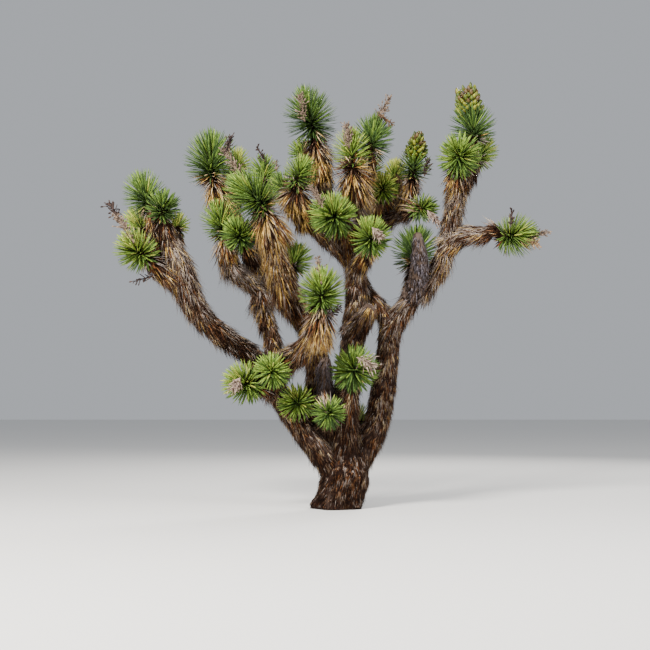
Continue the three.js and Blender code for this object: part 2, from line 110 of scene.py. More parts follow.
# Skeleton
# Where each limb runs, as in the CAD model: what carries it, how far along that it starts, its bends in
# millimetres, and its radii from root to tip. Each tuft has its limb, how far along that it starts, the middle
# of its ball, its reach, and either its stem's bend or how far the stem sags, in its own lengths. Then come how
# much yellower its leaves are than most, the size of its skirt, and how much more golden that is.
MM = 0.001
LIMBS = {
    "trunk": (None, 0, [(0, 0, 0), (40, 0, 180), (90, 15, 380), (95, 30, 470)], [195, 205, 226, 170]),
    "stem_middle": ("trunk", 0.6, [(75, -60, 700), (80, -20, 1060), (120, 30, 1400), (160, 80, 1780),
        (180, 100, 2120), (170, 100, 2380)], [130, 126, 128, 112, 104, 98]),
    "stem_right": ("trunk", 0.45, [(250, 100, 540), (375, 120, 810), (435, 120, 1120), (480, 100, 1450),
        (510, 100, 1790)], [140, 132, 126, 116, 108]),
    "stem_left": ("trunk", 0.5, [(-265, -80, 660), (-470, -130, 940), (-650, -170, 1210)],
        [130, 120, 110, 100]),
    "stem_inner": ("trunk", 0.7, [(-110, 70, 735), (-160, 30, 1065), (-185, -40, 1415)],
        [105, 125, 136, 112]),
    "bough_far_left": ("stem_left", 0.93, [(-820, -200, 1455), (-1025, -220, 1595), (-1230, -250, 1765),
        (-1360, -270, 1950), (-1455, -280, 2180), (-1605, -270, 2550)], [90, 94, 96, 110, 138, 90]),
    "bough_upright_left": ("stem_left", 0.95, [(-610, -60, 1470), (-660, 20, 1730), (-740, 100, 2010),
        (-780, 160, 2270), (-820, 200, 2520)], [92, 88, 84, 80, 80]),
    "bough_front": ("stem_inner", 0.93, [(-270, -200, 1710), (-455, -340, 1960), (-560, -440, 2260),
        (-625, -500, 2620)], [95, 104, 118, 135, 100]),
    "bough_front_low": ("stem_left", 0.95, [(-470, -400, 1385), (-300, -580, 1495), (-175, -680, 1680)],
        [84, 100, 112, 80]),
    "bough_mid_left": ("stem_middle", 0.98, [(25, 150, 2495), (-160, 170, 2655), (-335, 130, 2835)],
        [84, 82, 84, 76]),
    "bough_mid_top": ("bough_mid_left", 0.35, [(-70, 300, 2780), (-120, 420, 3050), (-160, 500, 3300)],
        [74, 72, 76, 78]),
    "bough_mid_front": ("stem_middle", 0.95, [(235, 50, 2620), (210, -20, 2860), (170, -80, 3040)],
        [84, 80, 78, 78]),
    "bough_left_low": ("bough_upright_left", 0.7, [(-935, 70, 2225), (-1040, 20, 2325), (-1065, -20, 2465)],
        [78, 84, 84, 72]),
    "bough_left_high": ("bough_upright_left", 0.95, [(-920, 140, 2660), (-1040, 100, 2830),
        (-1110, 70, 2940)], [72, 72, 72, 74]),
    "bough_back_left": ("bough_upright_left", 0.95, [(-780, 460, 2760), (-750, 720, 3020)], [74, 70, 68]),
    "bough_back": ("stem_right", 0.97, [(395, 220, 1940), (265, 360, 2110), (200, 500, 2330),
        (270, 620, 2565), (355, 700, 2760)], [86, 82, 78, 74, 74]),
    "bough_back_right": ("bough_back", 0.96, [(490, 620, 2830), (650, 500, 2890)], [70, 66, 64]),
    "bough_right": ("stem_right", 0.94, [(640, 80, 1900), (800, 30, 2080), (950, -20, 2260),
        (1040, -60, 2490), (1080, -100, 2720), (1150, -140, 3060)], [98, 98, 96, 96, 92, 90, 88]),
    "bough_side_right": ("bough_right", 0.64, [(1215, -100, 2590), (1365, -120, 2595), (1475, -140, 2615)],
        [104, 92, 80, 66]),
    "stub_grey": ("bough_right", 0.27, [(770, -200, 2310), (745, -300, 2545)], [110, 100, 88, 72, 44]),
    "stub_inner": ("stem_inner", 0.45, [(-130, -110, 1130), (-120, -150, 1380)], [75, 72, 55]),
    "stub_middle": ("stem_middle", 0.66, [(250, -30, 1795), (325, -70, 1910)], [105, 92, 62]),
}
SAG = 0.15
# Balls in the shade of others, back_1, back_3, right_3 and low_6, have their yellow raised as painted light
TUFTS = {
    "far_left_1": ("bough_far_left", 0.86, (-1825, -200, 2975), 212, SAG, -0.16, 0.7, 0),
    "far_left_2": ("bough_far_left", 1, (-1615, -420, 2805), 170, SAG, -0.2, 0.7, -2.2),
    "far_left_3": ("bough_far_left", 0.72, (-1860, -500, 2400), 200, (-1760, -360, 2300), 0.22, 0.8, -0.9),
    "far_left_4": ("bough_far_left", 0.8, (-1925, 110, 2735), 165, SAG, 0.22, 0.5, 0),
    "far_left_5": ("bough_far_left", 0.92, (-1550, 130, 2720), 130, SAG, 0.3, 0.5, 0),
    "left_1": ("bough_left_high", 1, (-1215, 20, 3360), 262, SAG, -0.26, 1.4, 1.9),
    "left_2": ("bough_left_high", 0.7, (-990, 350, 3365), 152, SAG, 0.26, 1, 0),
    "left_3": ("bough_front", 1, (-805, -580, 2900), 250, SAG, -0.08, 1.4, 0.3),
    "left_4": ("bough_left_low", 1, (-1120, -60, 2740), 195, SAG, 0, 1, -0.6),
    "left_5": ("bough_upright_left", 0.85, (-930, -280, 2570), 175, (-885, -130, 2500), 0, 0.5, -2),
    "left_6": ("bough_back_left", 1, (-750, 940, 3390), 175, SAG, -0.06, 1, 0),
    "middle_1": ("bough_mid_top", 1, (-280, 520, 3905), 265, SAG, -0.26, 1.4, 1),
    "middle_2": ("bough_mid_left", 1, (-350, -50, 3200), 175, SAG, 0.08, 1.5, 0.1),
    "middle_3": ("bough_mid_left", 0.85, (-540, 480, 3140), 165, SAG, -0.16, 1, 0),
    "middle_4": ("bough_mid_top", 0.75, (-365, 850, 3575), 145, SAG, 0.05, 1, 0),
    "middle_5": ("bough_mid_front", 1, (130, -150, 3410), 195, SAG, 0.26, 1.6, 0.3),
    "middle_6": ("bough_mid_front", 0.9, (350, 130, 3590), 215, SAG, -0.32, 1, 0),
    "middle_7": ("stem_middle", 1, (-60, -320, 2740), 225, SAG, 0.08, 1, 0),
    "middle_8": ("stem_middle", 0.95, (305, -300, 2550), 200, (315, -130, 2460), 0.08, 0.7, 0),
    "back_1": ("bough_back", 1, (450, 300, 3110), 165, SAG, 0.4, 1, 0),
    "back_2": ("bough_back", 0.94, (340, 830, 3410), 165, SAG, 0.1, 1, 0),
    "back_3": ("bough_back_right", 0.55, (610, 930, 3370), 155, SAG, 0.4, 1, 0),
    "back_4": ("bough_back_right", 1, (770, 420, 3370), 175, (735, 460, 3100), -0.22, 1, 0),
    "back_5": ("bough_back_right", 0.95, (850, 250, 2890), 150, 0, 0.06, 0.7, -2.2),
    "back_6": ("bough_right", 0.2, (770, 330, 2510), 235, SAG, -0.36, 0.5, -2),
    "front_1": ("bough_front", 0.62, (-400, -80, 2360), 175, SAG, 0, 0.5, -2),
    "front_2": ("bough_front_low", 1, (-150, -780, 2010), 215, (-150, -650, 1840), 0.1, 1.4, -0.2),
    "right_1": ("bough_right", 1, (1290, -50, 3660), 220, (1330, -80, 3400), -0.36, 0.3, -2.2),
    "right_2": ("bough_right", 0.9, (1130, -420, 3290), 210, (1120, -190, 3220), 0.08, 1, -0.5),
    "right_3": ("bough_right", 0.97, (1410, 250, 3455), 175, SAG, 0.28, 0.3, -2),
    "right_4": ("bough_side_right", 1, (1700, -170, 2570), 205, (1550, -70, 2550), 0.1, 0.3, -2.6),
    "low_1": ("stem_left", 0.93, (-870, -480, 1180), 200, (-770, -320, 1140), 0.2, 0.5, -2.4),
    "low_2": ("stem_left", 0.98, (-600, -560, 1280), 180, (-600, -385, 1255), 0.08, 0.5, -2.4),
    "low_3": ("stem_inner", 0.5, (-395, -280, 1000), 180, (-305, -125, 980), 0.18, 0.5, -2.4),
    "low_4": ("stem_inner", 0.42, (-80, -470, 905), 160, 0, -0.1, 0.5, -2.4),
    "low_5": ("stem_middle", 0.2, (160, -440, 1310), 220, (105, -240, 1235), -0.02, 0.4, -2.6),
    "low_6": ("stem_right", 0.3, (210, 340, 860), 135, SAG, 0.3, 0.5, -2.4),
}
BUD_AHEAD = 0.6  # how far a tuft's stem runs on past the middle of the ball, in reaches
RUN_ON = 0.45  # how far a stem from a limb's tip first runs straight on, in stem lengths
TIP_STEM = 1.05  # how stout a tuft's stem starts, in radii of its limb: at the limb's tip, and on its side
SIDE_STEM = 0.8
LINE_STEP = 0.011
STRETCH_SAMPLES = 60


def unit(vectors):
    """The vectors, each divided by its length."""
    return vectors / np.maximum(np.linalg.norm(vectors, axis=-1, keepdims=True), 1e-9)


def bent_line(corners):
    """A smooth line through the corners, sampled at even distances.

    Between two corners it is the centripetal Catmull-Rom cubic: the Hermite cubic whose slope at a corner comes
    from the chords on both sides of it, each weighted by the square root of its length. The end chords repeat.
    Returns its points, its directions, two directions square to it, and the distance run at each point.
    """
    corners = np.asarray(corners, float)
    chain = np.vstack([2 * corners[0] - corners[1], corners, 2 * corners[-1] - corners[-2]])
    knots = np.sqrt(np.linalg.norm(np.diff(chain, axis=0), axis=1))[:, None]
    before, here, there, after = chain[:-3], chain[1:-2], chain[2:-1], chain[3:]
    d0, d1, d2 = knots[:-2], knots[1:-1], knots[2:]
    leave = d1 * ((here - before) / d0 - (there - before) / (d0 + d1) + (there - here) / d1)
    arrive = d1 * ((there - here) / d1 - (after - here) / (d1 + d2) + (after - there) / d2)
    t = np.linspace(0, 1, STRETCH_SAMPLES, endpoint=False)[None, :, None]
    stretches = (here[:, None] * (2 * t**3 - 3 * t**2 + 1) + leave[:, None] * (t**3 - 2 * t**2 + t)
                 + there[:, None] * (3 * t**2 - 2 * t**3) + arrive[:, None] * (t**3 - t**2))
    dense = np.vstack([stretches.reshape(-1, 3), corners[-1:]])
    run = np.concatenate([[0], np.cumsum(np.linalg.norm(np.diff(dense, axis=0), axis=1))])
    even = np.linspace(0, run[-1], max(3, round(run[-1] / LINE_STEP) + 1))
    points = np.column_stack([np.interp(even, run, dense[:, axis]) for axis in range(3)])
    forward = unit(np.gradient(points, axis=0))
    reference = np.eye(3)[np.argmin(np.abs(forward).max(axis=0))]
    side = unit(np.cross(forward, reference))
    return {"points": points, "forward": forward, "side": side, "up": np.cross(forward, side), "run": even}


def read(line, what, distance):
    """What a line holds at some distances along it, straight between its samples."""
    return np.stack([np.interp(distance, line["run"], line[what][:, axis]) for axis in range(3)], axis=-1)


def limb_radius(name, distance):
    """A limb's radius: read evenly off its radii from root to tip, straight between them."""
    radii = MM * np.asarray(LIMBS[name][3])
    return np.interp(distance / lines[name]["run"][-1], np.linspace(0, 1, len(radii)), radii)


lines = {}
for name, (carrier, start, bends, radii) in LIMBS.items():
    corners = MM * np.asarray(bends, float)
    if carrier:
        corners = np.vstack([read(lines[carrier], "points", start * lines[carrier]["run"][-1]), corners])
    lines[name] = bent_line(corners)

tufts = {}
for name, (carrier, start, centre, reach, bend, yellow, skirt, gold) in TUFTS.items():
    limb = lines[carrier]
    root = read(limb, "points", start * limb["run"][-1])
    centre = MM * np.asarray(centre, float)
    length = np.linalg.norm(centre - root)
    if isinstance(bend, tuple):
        bend = MM * np.asarray(bend, float)
    elif start == 1:
        bend = root + RUN_ON * length * limb["forward"][-1]
    else:
        bend = 0.5 * (root + centre) - np.array([0.0, 0.0, bend * length])
    axis = unit(centre - bend)
    middle = 0.25 * root + 0.5 * bend + 0.25 * centre
    line = bent_line([root, middle, centre, centre + BUD_AHEAD * MM * reach * axis])
    stem_root = float(limb_radius(carrier, start * limb["run"][-1])) * (TIP_STEM if start == 1 else SIDE_STEM)
    tufts[name] = {"line": line, "centre": centre, "axis": axis, "reach": MM * reach, "radius": stem_root,
                   "yellow": yellow, "skirt": skirt, "gold": gold}

# Bark
# The trunk and limbs are fibrous wood under cracked bark: long plates and furrows that run along the limb,
# deepest at the foot, where five buttresses spread to the flat cut. A limb is stouter where it forks off.
FURROW_LENGTH = 0.085
FURROW_WIDTH = 0.017
FURROW_DEPTH = {"trunk": 0.022, "stem": 0.015, "bough": 0.010, "stub": 0.010}
FURROW_LEVEL = 0.55  # the relief that lies on the bark's own radius
FINE_FURROWS = 2.3  # how many times finer the second set of furrows is, and the share of the first
COARSE_SHARE = 0.65
WANDER = 1.5  # how far furrows wander, in widths, and over what distance
WANDER_WIDTH = 0.06
LUMP_HEIGHT = 0.10  # in radii
LUMP_WIDTH = 0.16
THATCH_DEPTH = {"trunk": 0.012, "stem": 0.016, "bough": 0.018, "stub": 0.006}
AROUND = {"trunk": 144, "stem": 72, "bough": 44, "stub": 48}
COLLAR = 0.26
COLLAR_LENGTH = 0.10
FLARE = 0.055
FLARE_HEIGHT = 0.095
BUTTRESSES = 5
BUTTRESS_DEPTH = 0.09
TIP_DOME = 0.35
TIP_DOMES = {"stub_grey": 0.9, "stub_inner": 0.9, "stub_middle": -0.5}  # the last one ends in a hollow
DOME_ROWS = 7
BARK_COLOURS = (  # in the furrows, as painted shade, on their sides, and on the worn ridges
    ("old furrowed bark", (0.002, 0.001, 0.001), (0.014, 0.006, 0.004), (0.090, 0.062, 0.048)),
    ("furrowed bark", (0.006, 0.002, 0.001), (0.026, 0.011, 0.005), (0.080, 0.048, 0.028)),
    ("grey dead wood", (0.010, 0.006, 0.004), (0.060, 0.040, 0.030), (0.170, 0.130, 0.112)),
)
BARK_ROUGHNESS = 0.93
BARK_GLOSS = 0.08
FIBRES = (190.0, 190.0, 26.0)  # how many to the metre, across the grain and along it
PATCHES = 9.0
MIX_COLOURS = (6, 7)  # the places of a Mix node's colour inputs, and of its colour output
MIX_RESULT = 2


def lattice(cells, seed):
    """A repeatable number from 0 to 1 for each whole-number cell, by multiplying and folding its bits."""
    mixed = np.full(cells.shape[:-1], seed, np.uint32)
    for axis, factor in enumerate((374761393, 668265263, 2246822519)):
        mixed = (mixed ^ (cells[..., axis].astype(np.uint32) * np.uint32(factor))) * np.uint32(2654435761)
        mixed ^= mixed >> np.uint32(15)
    return mixed.astype(float) / 2**32


def swell(places, seed):
    """Smooth noise from 0 to 1: the lattice values at a place's eight corners, blended by 3t^2 - 2t^3."""
    low = np.floor(places).astype(np.int64)
    t = places - low
    t = t * t * (3 - 2 * t)
    total = 0.0
    for corner in np.ndindex(2, 2, 2):
        share = np.prod(np.where(corner, t, 1 - t), axis=-1)
        total = total + share * lattice(low + np.array(corner), seed)
    return total


def furrows(grain, seed):
    """Relief from 0 to 1: long ridges, where two noises stretched along the limb fold at their middle value."""
    places = grain / np.array([FURROW_WIDTH, FURROW_WIDTH, FURROW_LENGTH])
    wander = swell(grain / WANDER_WIDTH, seed + 5)
    coarse = 1 - np.abs(2 * swell(places + WANDER * wander[..., None], seed) - 1)
    fine = 1 - np.abs(2 * swell(places * FINE_FURROWS, seed + 1) - 1)
    return COARSE_SHARE * coarse + (1 - COARSE_SHARE) * fine


def bark_radius(name, distance):
    """The radius of a limb's bark: the limb's own, stouter at its root, less the depth of the thatch on it."""
    kind = name.split("_")[0]
    stout = 1 if kind == "trunk" else 1 + COLLAR * np.exp(-distance / COLLAR_LENGTH)
    return limb_radius(name, distance) * stout - THATCH_DEPTH[kind]


def root_flare(distance, angle):
    """How the trunk widens towards the ground: a factor with its buttresses, and a flare to add."""
    fade = np.exp(-distance / FLARE_HEIGHT)
    return 1 + BUTTRESS_DEPTH * fade * np.cos(BUTTRESSES * angle), FLARE * fade


def turn(steps):
    """The angles of a full turn in even steps."""
    return np.linspace(0, 2 * np.pi, steps, endpoint=False)


def round_line(angle, side, up):
    """Directions square to a line at some angles round it: the cosine times side plus the sine times up."""
    return np.cos(angle)[..., None] * side + np.sin(angle)[..., None] * up


def square_to(forward, near):
    """Two directions square to forward and to each other: its cross product with near, and with that one."""
    side = unit(np.cross(forward, np.array(near)))
    return side, np.cross(forward, side)


def grain_places(radius, angle, distance):
    """Where points lie in the grain: radius by cosine and sine across a limb, and distance along it."""
    return np.stack([radius * np.cos(angle), radius * np.sin(angle), distance], axis=-1)


def tube_faces(rows, around):
    """Faces of a closed tube: quads between neighbouring rows, and fans to one point past each end."""
    ring = np.arange(rows * around).reshape(rows, around)
    after = np.roll(ring, -1, axis=1)
    quads = np.stack([ring[:-1], after[:-1], after[1:], ring[1:]], axis=-1).reshape(-1, 4)
    point = np.full(around, rows * around)
    foot = np.stack([point, after[0], ring[0]], axis=-1)
    head = np.stack([point + 1, ring[-1], after[-1]], axis=-1)
    return quads, np.vstack([foot, head])


def closed_tubes(rings, ends=None):
    """Corners, quads and triangles of tubes that close in two points each, or in the middles of end rings."""
    count, rows, around = rings.shape[:3]
    if ends is None:
        ends = rings[:, [0, -1]].mean(axis=2)
    corners = np.concatenate([rings.reshape(count, -1, 3), ends], axis=1)
    quads, triangles = tube_faces(rows, around)
    base = corners.shape[1] * np.arange(count)[:, None, None]
    return corners.reshape(-1, 3), (base + quads).reshape(-1, 4), (base + triangles).reshape(-1, 3)


def piece(name, material, slot, nodes, points, quads, triangles):
    """A mesh object of the given corners and faces, with its place in its mesh, in place of some CAD nodes."""
    mesh = bpy.data.meshes.new(name)
    corners = np.concatenate([quads.ravel(), triangles.ravel()]).astype(np.int32)
    sizes = np.concatenate([np.full(len(quads), 4), np.full(len(triangles), 3)])
    mesh.vertices.add(len(points))
    mesh.loops.add(len(corners))
    mesh.polygons.add(len(sizes))
    mesh.vertices.foreach_set("co", np.asarray(points, np.float32).ravel())
    mesh.loops.foreach_set("vertex_index", corners)
    mesh.polygons.foreach_set("loop_start", np.concatenate([[0], np.cumsum(sizes)[:-1]]).astype(np.int32))
    mesh.polygons.foreach_set("use_smooth", np.full(len(sizes), True))
    mesh.materials.append(material)
    mesh.update(calc_edges=True)
    mesh.validate()
    made = bpy.data.objects.new(name, mesh)
    bpy.context.scene.collection.objects.link(made)
    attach(made, "root")
    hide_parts(*nodes)
    return made


def limb_skin(name):
    """A limb's bark: rings square to its line, whose radius is the bark's own plus the furrows' relief.

    Past the tip the rings close in a low dome, radius times the cosine of a quarter turn. The trunk's lowest
    ring lies flat on the ground, and its radius gains a flare and buttresses that fade with height.
    Returns the rings, the place of each point along and round the grain, and its relief.
    """
    kind = name.split("_")[0]
    line = lines[name]
    angle = turn(AROUND[kind])
    radius = bark_radius(name, line["run"])[:, None] * np.ones_like(angle)
    centres, side, up = (line[what][:, None] for what in ("points", "side", "up"))
    if name == "trunk":
        factor, flare = root_flare(line["run"][:, None], angle)
        radius = radius * factor + flare
    quarter = np.linspace(0, np.pi / 2, DOME_ROWS + 1)[1:-1, None]
    rise = TIP_DOMES.get(name, TIP_DOME) * radius[-1].mean() * np.sin(quarter)
    centres = np.concatenate([centres, line["points"][-1] + rise[..., None] * line["forward"][-1]])
    radius = np.vstack([radius, radius[-1] * np.cos(quarter)])
    side, up = (np.concatenate([way, np.repeat(way[-1:], DOME_ROWS - 1, axis=0)]) for way in (side, up))
    distance = np.concatenate([line["run"], line["run"][-1] + rise[:, 0]])[:, None] * np.ones_like(angle)
    grain = grain_places(radius, angle, distance)
    relief = furrows(grain, len(name))
    lumps = swell(grain / LUMP_WIDTH, 7 + len(name)) - 0.5
    radius = radius + FURROW_DEPTH[kind] * (relief - FURROW_LEVEL) + LUMP_HEIGHT * radius * lumps
    rings = centres + radius[..., None] * round_line(angle, side, up)
    if name == "trunk":
        rings[..., 2] = np.maximum(rings[..., 2], 0.0)
        rings[0, :, 2] = 0.0
    return rings, grain, relief


def shader_group(name, colours, outputs):
    """A shader node group with colour inputs, and outputs of some kinds. Returns it and its two end nodes."""
    group = bpy.data.node_groups.new(name, "ShaderNodeTree")
    for label in colours:
        group.interface.new_socket(label, in_out="INPUT", socket_type="NodeSocketColor")
    for label, kind in outputs.items():
        group.interface.new_socket(label, in_out="OUTPUT", socket_type=kind)
    return group, group.nodes.new("NodeGroupInput").outputs, group.nodes.new("NodeGroupOutput").inputs


def add_node(group, kind, **inputs):
    """Adds a node with its inputs, each a value or an output to link, under its name with _ for a space."""
    made = group.nodes.new(f"ShaderNode{kind}")
    for label, value in inputs.items():
        socket = made.inputs[label.replace("_", " ")]
        if isinstance(value, bpy.types.NodeSocket):
            group.links.new(value, socket)
        else:
            socket.default_value = value
    return made


def colour_mix(group, share, low, high):
    """Adds a Mix node from one colour to another by a share from 0 to 1. Returns its colour output."""
    mix = add_node(group, "Mix", Factor=share)
    mix.data_type = "RGBA"
    for index, colour in zip(MIX_COLOURS, (low, high)):
        group.links.new(colour, mix.inputs[index])
    return mix.outputs[MIX_RESULT]


def group_material(name, group, colours, roughness, gloss):
    """A Principled surface with its colour, and normal if there is one, from the group with these colours."""
    made, shader = plain_material(name, colours[1], roughness, gloss)
    placed = made.node_tree.nodes.new("ShaderNodeGroup")
    placed.node_tree = group
    for socket, colour in zip(placed.inputs, colours):
        socket.default_value = (*colour, 1.0)
    made.node_tree.links.new(placed.outputs["Colour"], shader.inputs["Base Color"])
    if "Normal" in placed.outputs:
        made.node_tree.links.new(placed.outputs["Normal"], shader.inputs["Normal"])
    return made


def set_grain(made, grain, relief):
    """Stores where each point lies in the grain, and how far out of the furrows, for the bark materials' grain
    and painted shade.
    """
    places = made.data.attributes.new("grain", "FLOAT_VECTOR", "POINT")
    places.data.foreach_set("vector", np.asarray(grain, np.float32).ravel())
    heights = made.data.attributes.new("relief", "FLOAT", "POINT")
    heights.data.foreach_set("value", np.asarray(relief, np.float32))


# Dark in the furrows, brown on their sides and pale on the worn ridges, broken up by noise along the grain
bark_grain, given, result = shader_group("bark grain", ("Dark", "Brown", "Pale"),
                                         {"Colour": "NodeSocketColor", "Normal": "NodeSocketVector"})
grain_place = add_node(bark_grain, "Attribute")
grain_place.attribute_name = "grain"
height = add_node(bark_grain, "Attribute")
height.attribute_name = "relief"
stretch = add_node(bark_grain, "Mapping", Vector=grain_place.outputs["Vector"], Scale=FIBRES)
fibres = add_node(bark_grain, "TexNoise", Vector=stretch.outputs["Vector"], Scale=1.0, Detail=5.0)
patches = add_node(bark_grain, "TexNoise", Vector=grain_place.outputs["Vector"], Scale=PATCHES, Detail=3.0)
# Painted shade: the lower the relief, the more the colour turns to the near black of the furrows
depth = add_node(bark_grain, "MapRange", Value=height.outputs["Fac"], From_Min=0.38, From_Max=0.72)
worn = add_node(bark_grain, "MapRange", Value=patches.outputs["Fac"], From_Min=0.42, From_Max=0.72)
ridge = add_node(bark_grain, "Math")
ridge.operation = "MULTIPLY"
bark_grain.links.new(worn.outputs["Result"], ridge.inputs[0])
bark_grain.links.new(fibres.outputs["Fac"], ridge.inputs[1])
body = colour_mix(bark_grain, ridge.outputs["Value"], given["Brown"], given["Pale"])
bark_grain.links.new(colour_mix(bark_grain, depth.outputs["Result"], given["Dark"], body), result["Colour"])
bump = add_node(bark_grain, "Bump", Strength=0.7, Distance=0.004, Height=fibres.outputs["Fac"])
bark_grain.links.new(bump.outputs["Normal"], result["Normal"])

old_bark, bark, dead_wood = [
    group_material(name, bark_grain, colours, BARK_ROUGHNESS, BARK_GLOSS) for name, *colours in BARK_COLOURS]
barks = {"trunk": old_bark, "stem": old_bark, "bough": bark, "stub": dead_wood}
for name in LIMBS:
    kind = name.split("_")[0]
    rings, grain, relief = limb_skin(name)
    slot = "grey_wood" if kind == "stub" else "bark"
    made = piece(f"bark_{name}", barks[kind], slot, [name], *closed_tubes(rings[None]))
    set_grain(made, closed_tubes(grain[None])[0], np.append(relief.ravel(), [0.5, 0.5]))

# Leaves
# Every leaf, live or dead, is a stiff dagger with a keel under it. They come in plain colours, each its own
# pieces: four greens, and six shades that dead leaves pass through, from gold by tan and grey to dark brown,
# the darkest near black as painted shade for the gaps between leaves.
GOLDEN_ANGLE = math.pi * (3 - math.sqrt(5))
MOST_TRIANGLES = 190000
# Where along a blade its rings of corners lie, from root to tip, and how wide it is there
LONG_BLADE = (np.array([0.0, 0.38, 0.80]), np.array([0.85, 1.0, 0.70]))
SHORT_BLADE = (np.array([0.0, 0.55]), np.array([0.75, 1.0]))
SPIKE = (np.array([0.0]), np.array([1.0]))
KEEL = 0.6
TONE_SCALE = 42.0
LOW_TONE = 0.36  # the noise that gives the dark tone, and the light one
HIGH_TONE = 0.64
# The dark colour, near black, is the dark brown of the oldest leaves and painted shade for the gaps between
# them
DEAD_COLOURS = [
    ("dark", (0.009, 0.003, 0.002), (0.036, 0.015, 0.008)),
    ("rust", (0.085, 0.030, 0.010), (0.210, 0.086, 0.030)),
    ("brown", (0.085, 0.046, 0.026), (0.200, 0.124, 0.076)),
    ("grey", (0.175, 0.138, 0.118), (0.380, 0.315, 0.275)),
    ("pale", (0.340, 0.240, 0.125), (0.660, 0.500, 0.285)),
    ("gold", (0.350, 0.195, 0.048), (0.680, 0.450, 0.135)),
]
AGES = np.arange(-1, 6)
DEAD_SHARES = np.array([  # of the six colours, a row for each age
    [0.74, 0.12, 0.12, 0.02, 0.00, 0.00],
    [0.58, 0.11, 0.22, 0.09, 0.00, 0.00],
    [0.40, 0.11, 0.26, 0.21, 0.02, 0.00],
    [0.30, 0.13, 0.22, 0.27, 0.06, 0.02],
    [0.24, 0.14, 0.19, 0.23, 0.14, 0.06],
    [0.15, 0.19, 0.10, 0.03, 0.19, 0.34],
    [0.10, 0.10, 0.03, 0.00, 0.17, 0.60],
])
TOP_LIT_AND_BLEACHED = np.array([name in ("grey", "pale") for name, dark, light in DEAD_COLOURS])
LIKE_AGES = (0.11, 1.6)  # how wide patches of like age are, and by how many ages they differ
LIKE_COLOURS = 0.03  # how wide patches of like colour are
GREENS = [
    ("deep", (0.020, 0.046, 0.011), (0.058, 0.108, 0.024)),
    ("mid", (0.057, 0.112, 0.016), (0.124, 0.204, 0.036)),
    ("bright", (0.122, 0.202, 0.024), (0.240, 0.345, 0.055)),
    ("yellow", (0.225, 0.265, 0.034), (0.410, 0.435, 0.090)),
]
rng = np.random.default_rng(11)


def blades(shape, root, forward, out, length, width, curl, sway):
    """Daggers as closed three-sided spikes: a flat top between two margins, and a keel under it.

    The middle of the blade runs from the root along forward, bends out by curl and sideways by sway times the
    square of the share of its length, and narrows to a point. Returns all corners, quads and triangles.
    """
    places, widths = shape
    across = unit(np.cross(forward, out))
    out = np.cross(across, forward)
    t = np.append(places, 1.0)[None, :, None]
    reach = length[:, None, None]
    bend = reach * t**2
    middle = (root[:, None] + reach * t * forward[:, None] + curl[:, None, None] * bend * out[:, None]
              + sway[:, None, None] * bend * across[:, None])
    half = 0.5 * width[:, None, None] * widths[None, :, None]
    rings = middle[:, :-1]
    corners = np.stack([rings - half * across[:, None], rings + half * across[:, None],
                        rings - KEEL * half * out[:, None]], axis=2)
    point = 3 * len(places)
    corners = np.concatenate([corners.reshape(-1, point, 3), middle[:, -1:]], axis=1)
    last = point - 3
    sides = ((0, 1), (1, 2), (2, 0))
    quads = [(row + a, row + 3 + a, row + 3 + b, row + b) for row in range(0, last, 3) for a, b in sides]
    triangles = [(last + a, point, last + b) for a, b in sides] + [(0, 1, 2)]
    base = (point + 1) * np.arange(len(root))[:, None, None]
    return (corners.reshape(-1, 3), (base + np.array(quads, int).reshape(-1, 4)).reshape(-1, 4),
            (base + np.array(triangles)).reshape(-1, 3))


def leaf_material(name, dark, light, roughness, gloss=0.10):
    """A leaf's skin: two tones of one colour."""
    return group_material(name, leaf_tones, (dark, light), roughness, gloss)


def spread(length, count):
    """Places at about even steps along a length, each by chance within its own step."""
    return length * (np.arange(count) + rng.random(count)) / max(count, 1)


def spiral(count, chance=0.0):
    """Angles that turn by the golden angle from each to the next, plus chance where there is some."""
    angle = GOLDEN_ANGLE * np.arange(count)
    return angle + rng.normal(0, chance, count) if chance else angle


def deal(leaves, colour, bundles):
    """Adds a set of leaves to each colour's bundles by their colour's number, with none for the number -1."""
    for index, bundle in enumerate(bundles):
        bundle.append({key: value[colour == index] for key, value in leaves.items()})


def daggers(root, forward, out, length, width, curl, sway):
    """A set of leaves. Width is a size, times a chance within two limits, and curl a mean and a spread."""
    count = len(root)
    size, low, high = width
    return {"root": root, "forward": forward, "out": out, "length": length,
            "width": size * rng.uniform(low, high, count) if low < high else np.full(count, size),
            "curl": rng.normal(*curl, count), "sway": rng.normal(0, sway, count)}


def joined(bundles):
    """One set of leaves out of all bundles of a colour."""
    return {key: np.concatenate([bundle[key] for bundle in bundles]) for key in bundles[0]}


def leaf_pieces(name, material, slot, nodes, shape, bundles):
    """Makes one colour's leaves, joined into pieces that each stay under the most triangles."""
    leaves = joined(bundles)
    share = MOST_TRIANGLES // (6 * (len(shape[0]) - 1) + 4)
    for part, first in enumerate(range(0, len(leaves["root"]), share)):
        batch = {key: value[first:first + share] for key, value in leaves.items()}
        piece(f"{name}_{part + 1}", material, slot, nodes, *blades(shape, **batch))


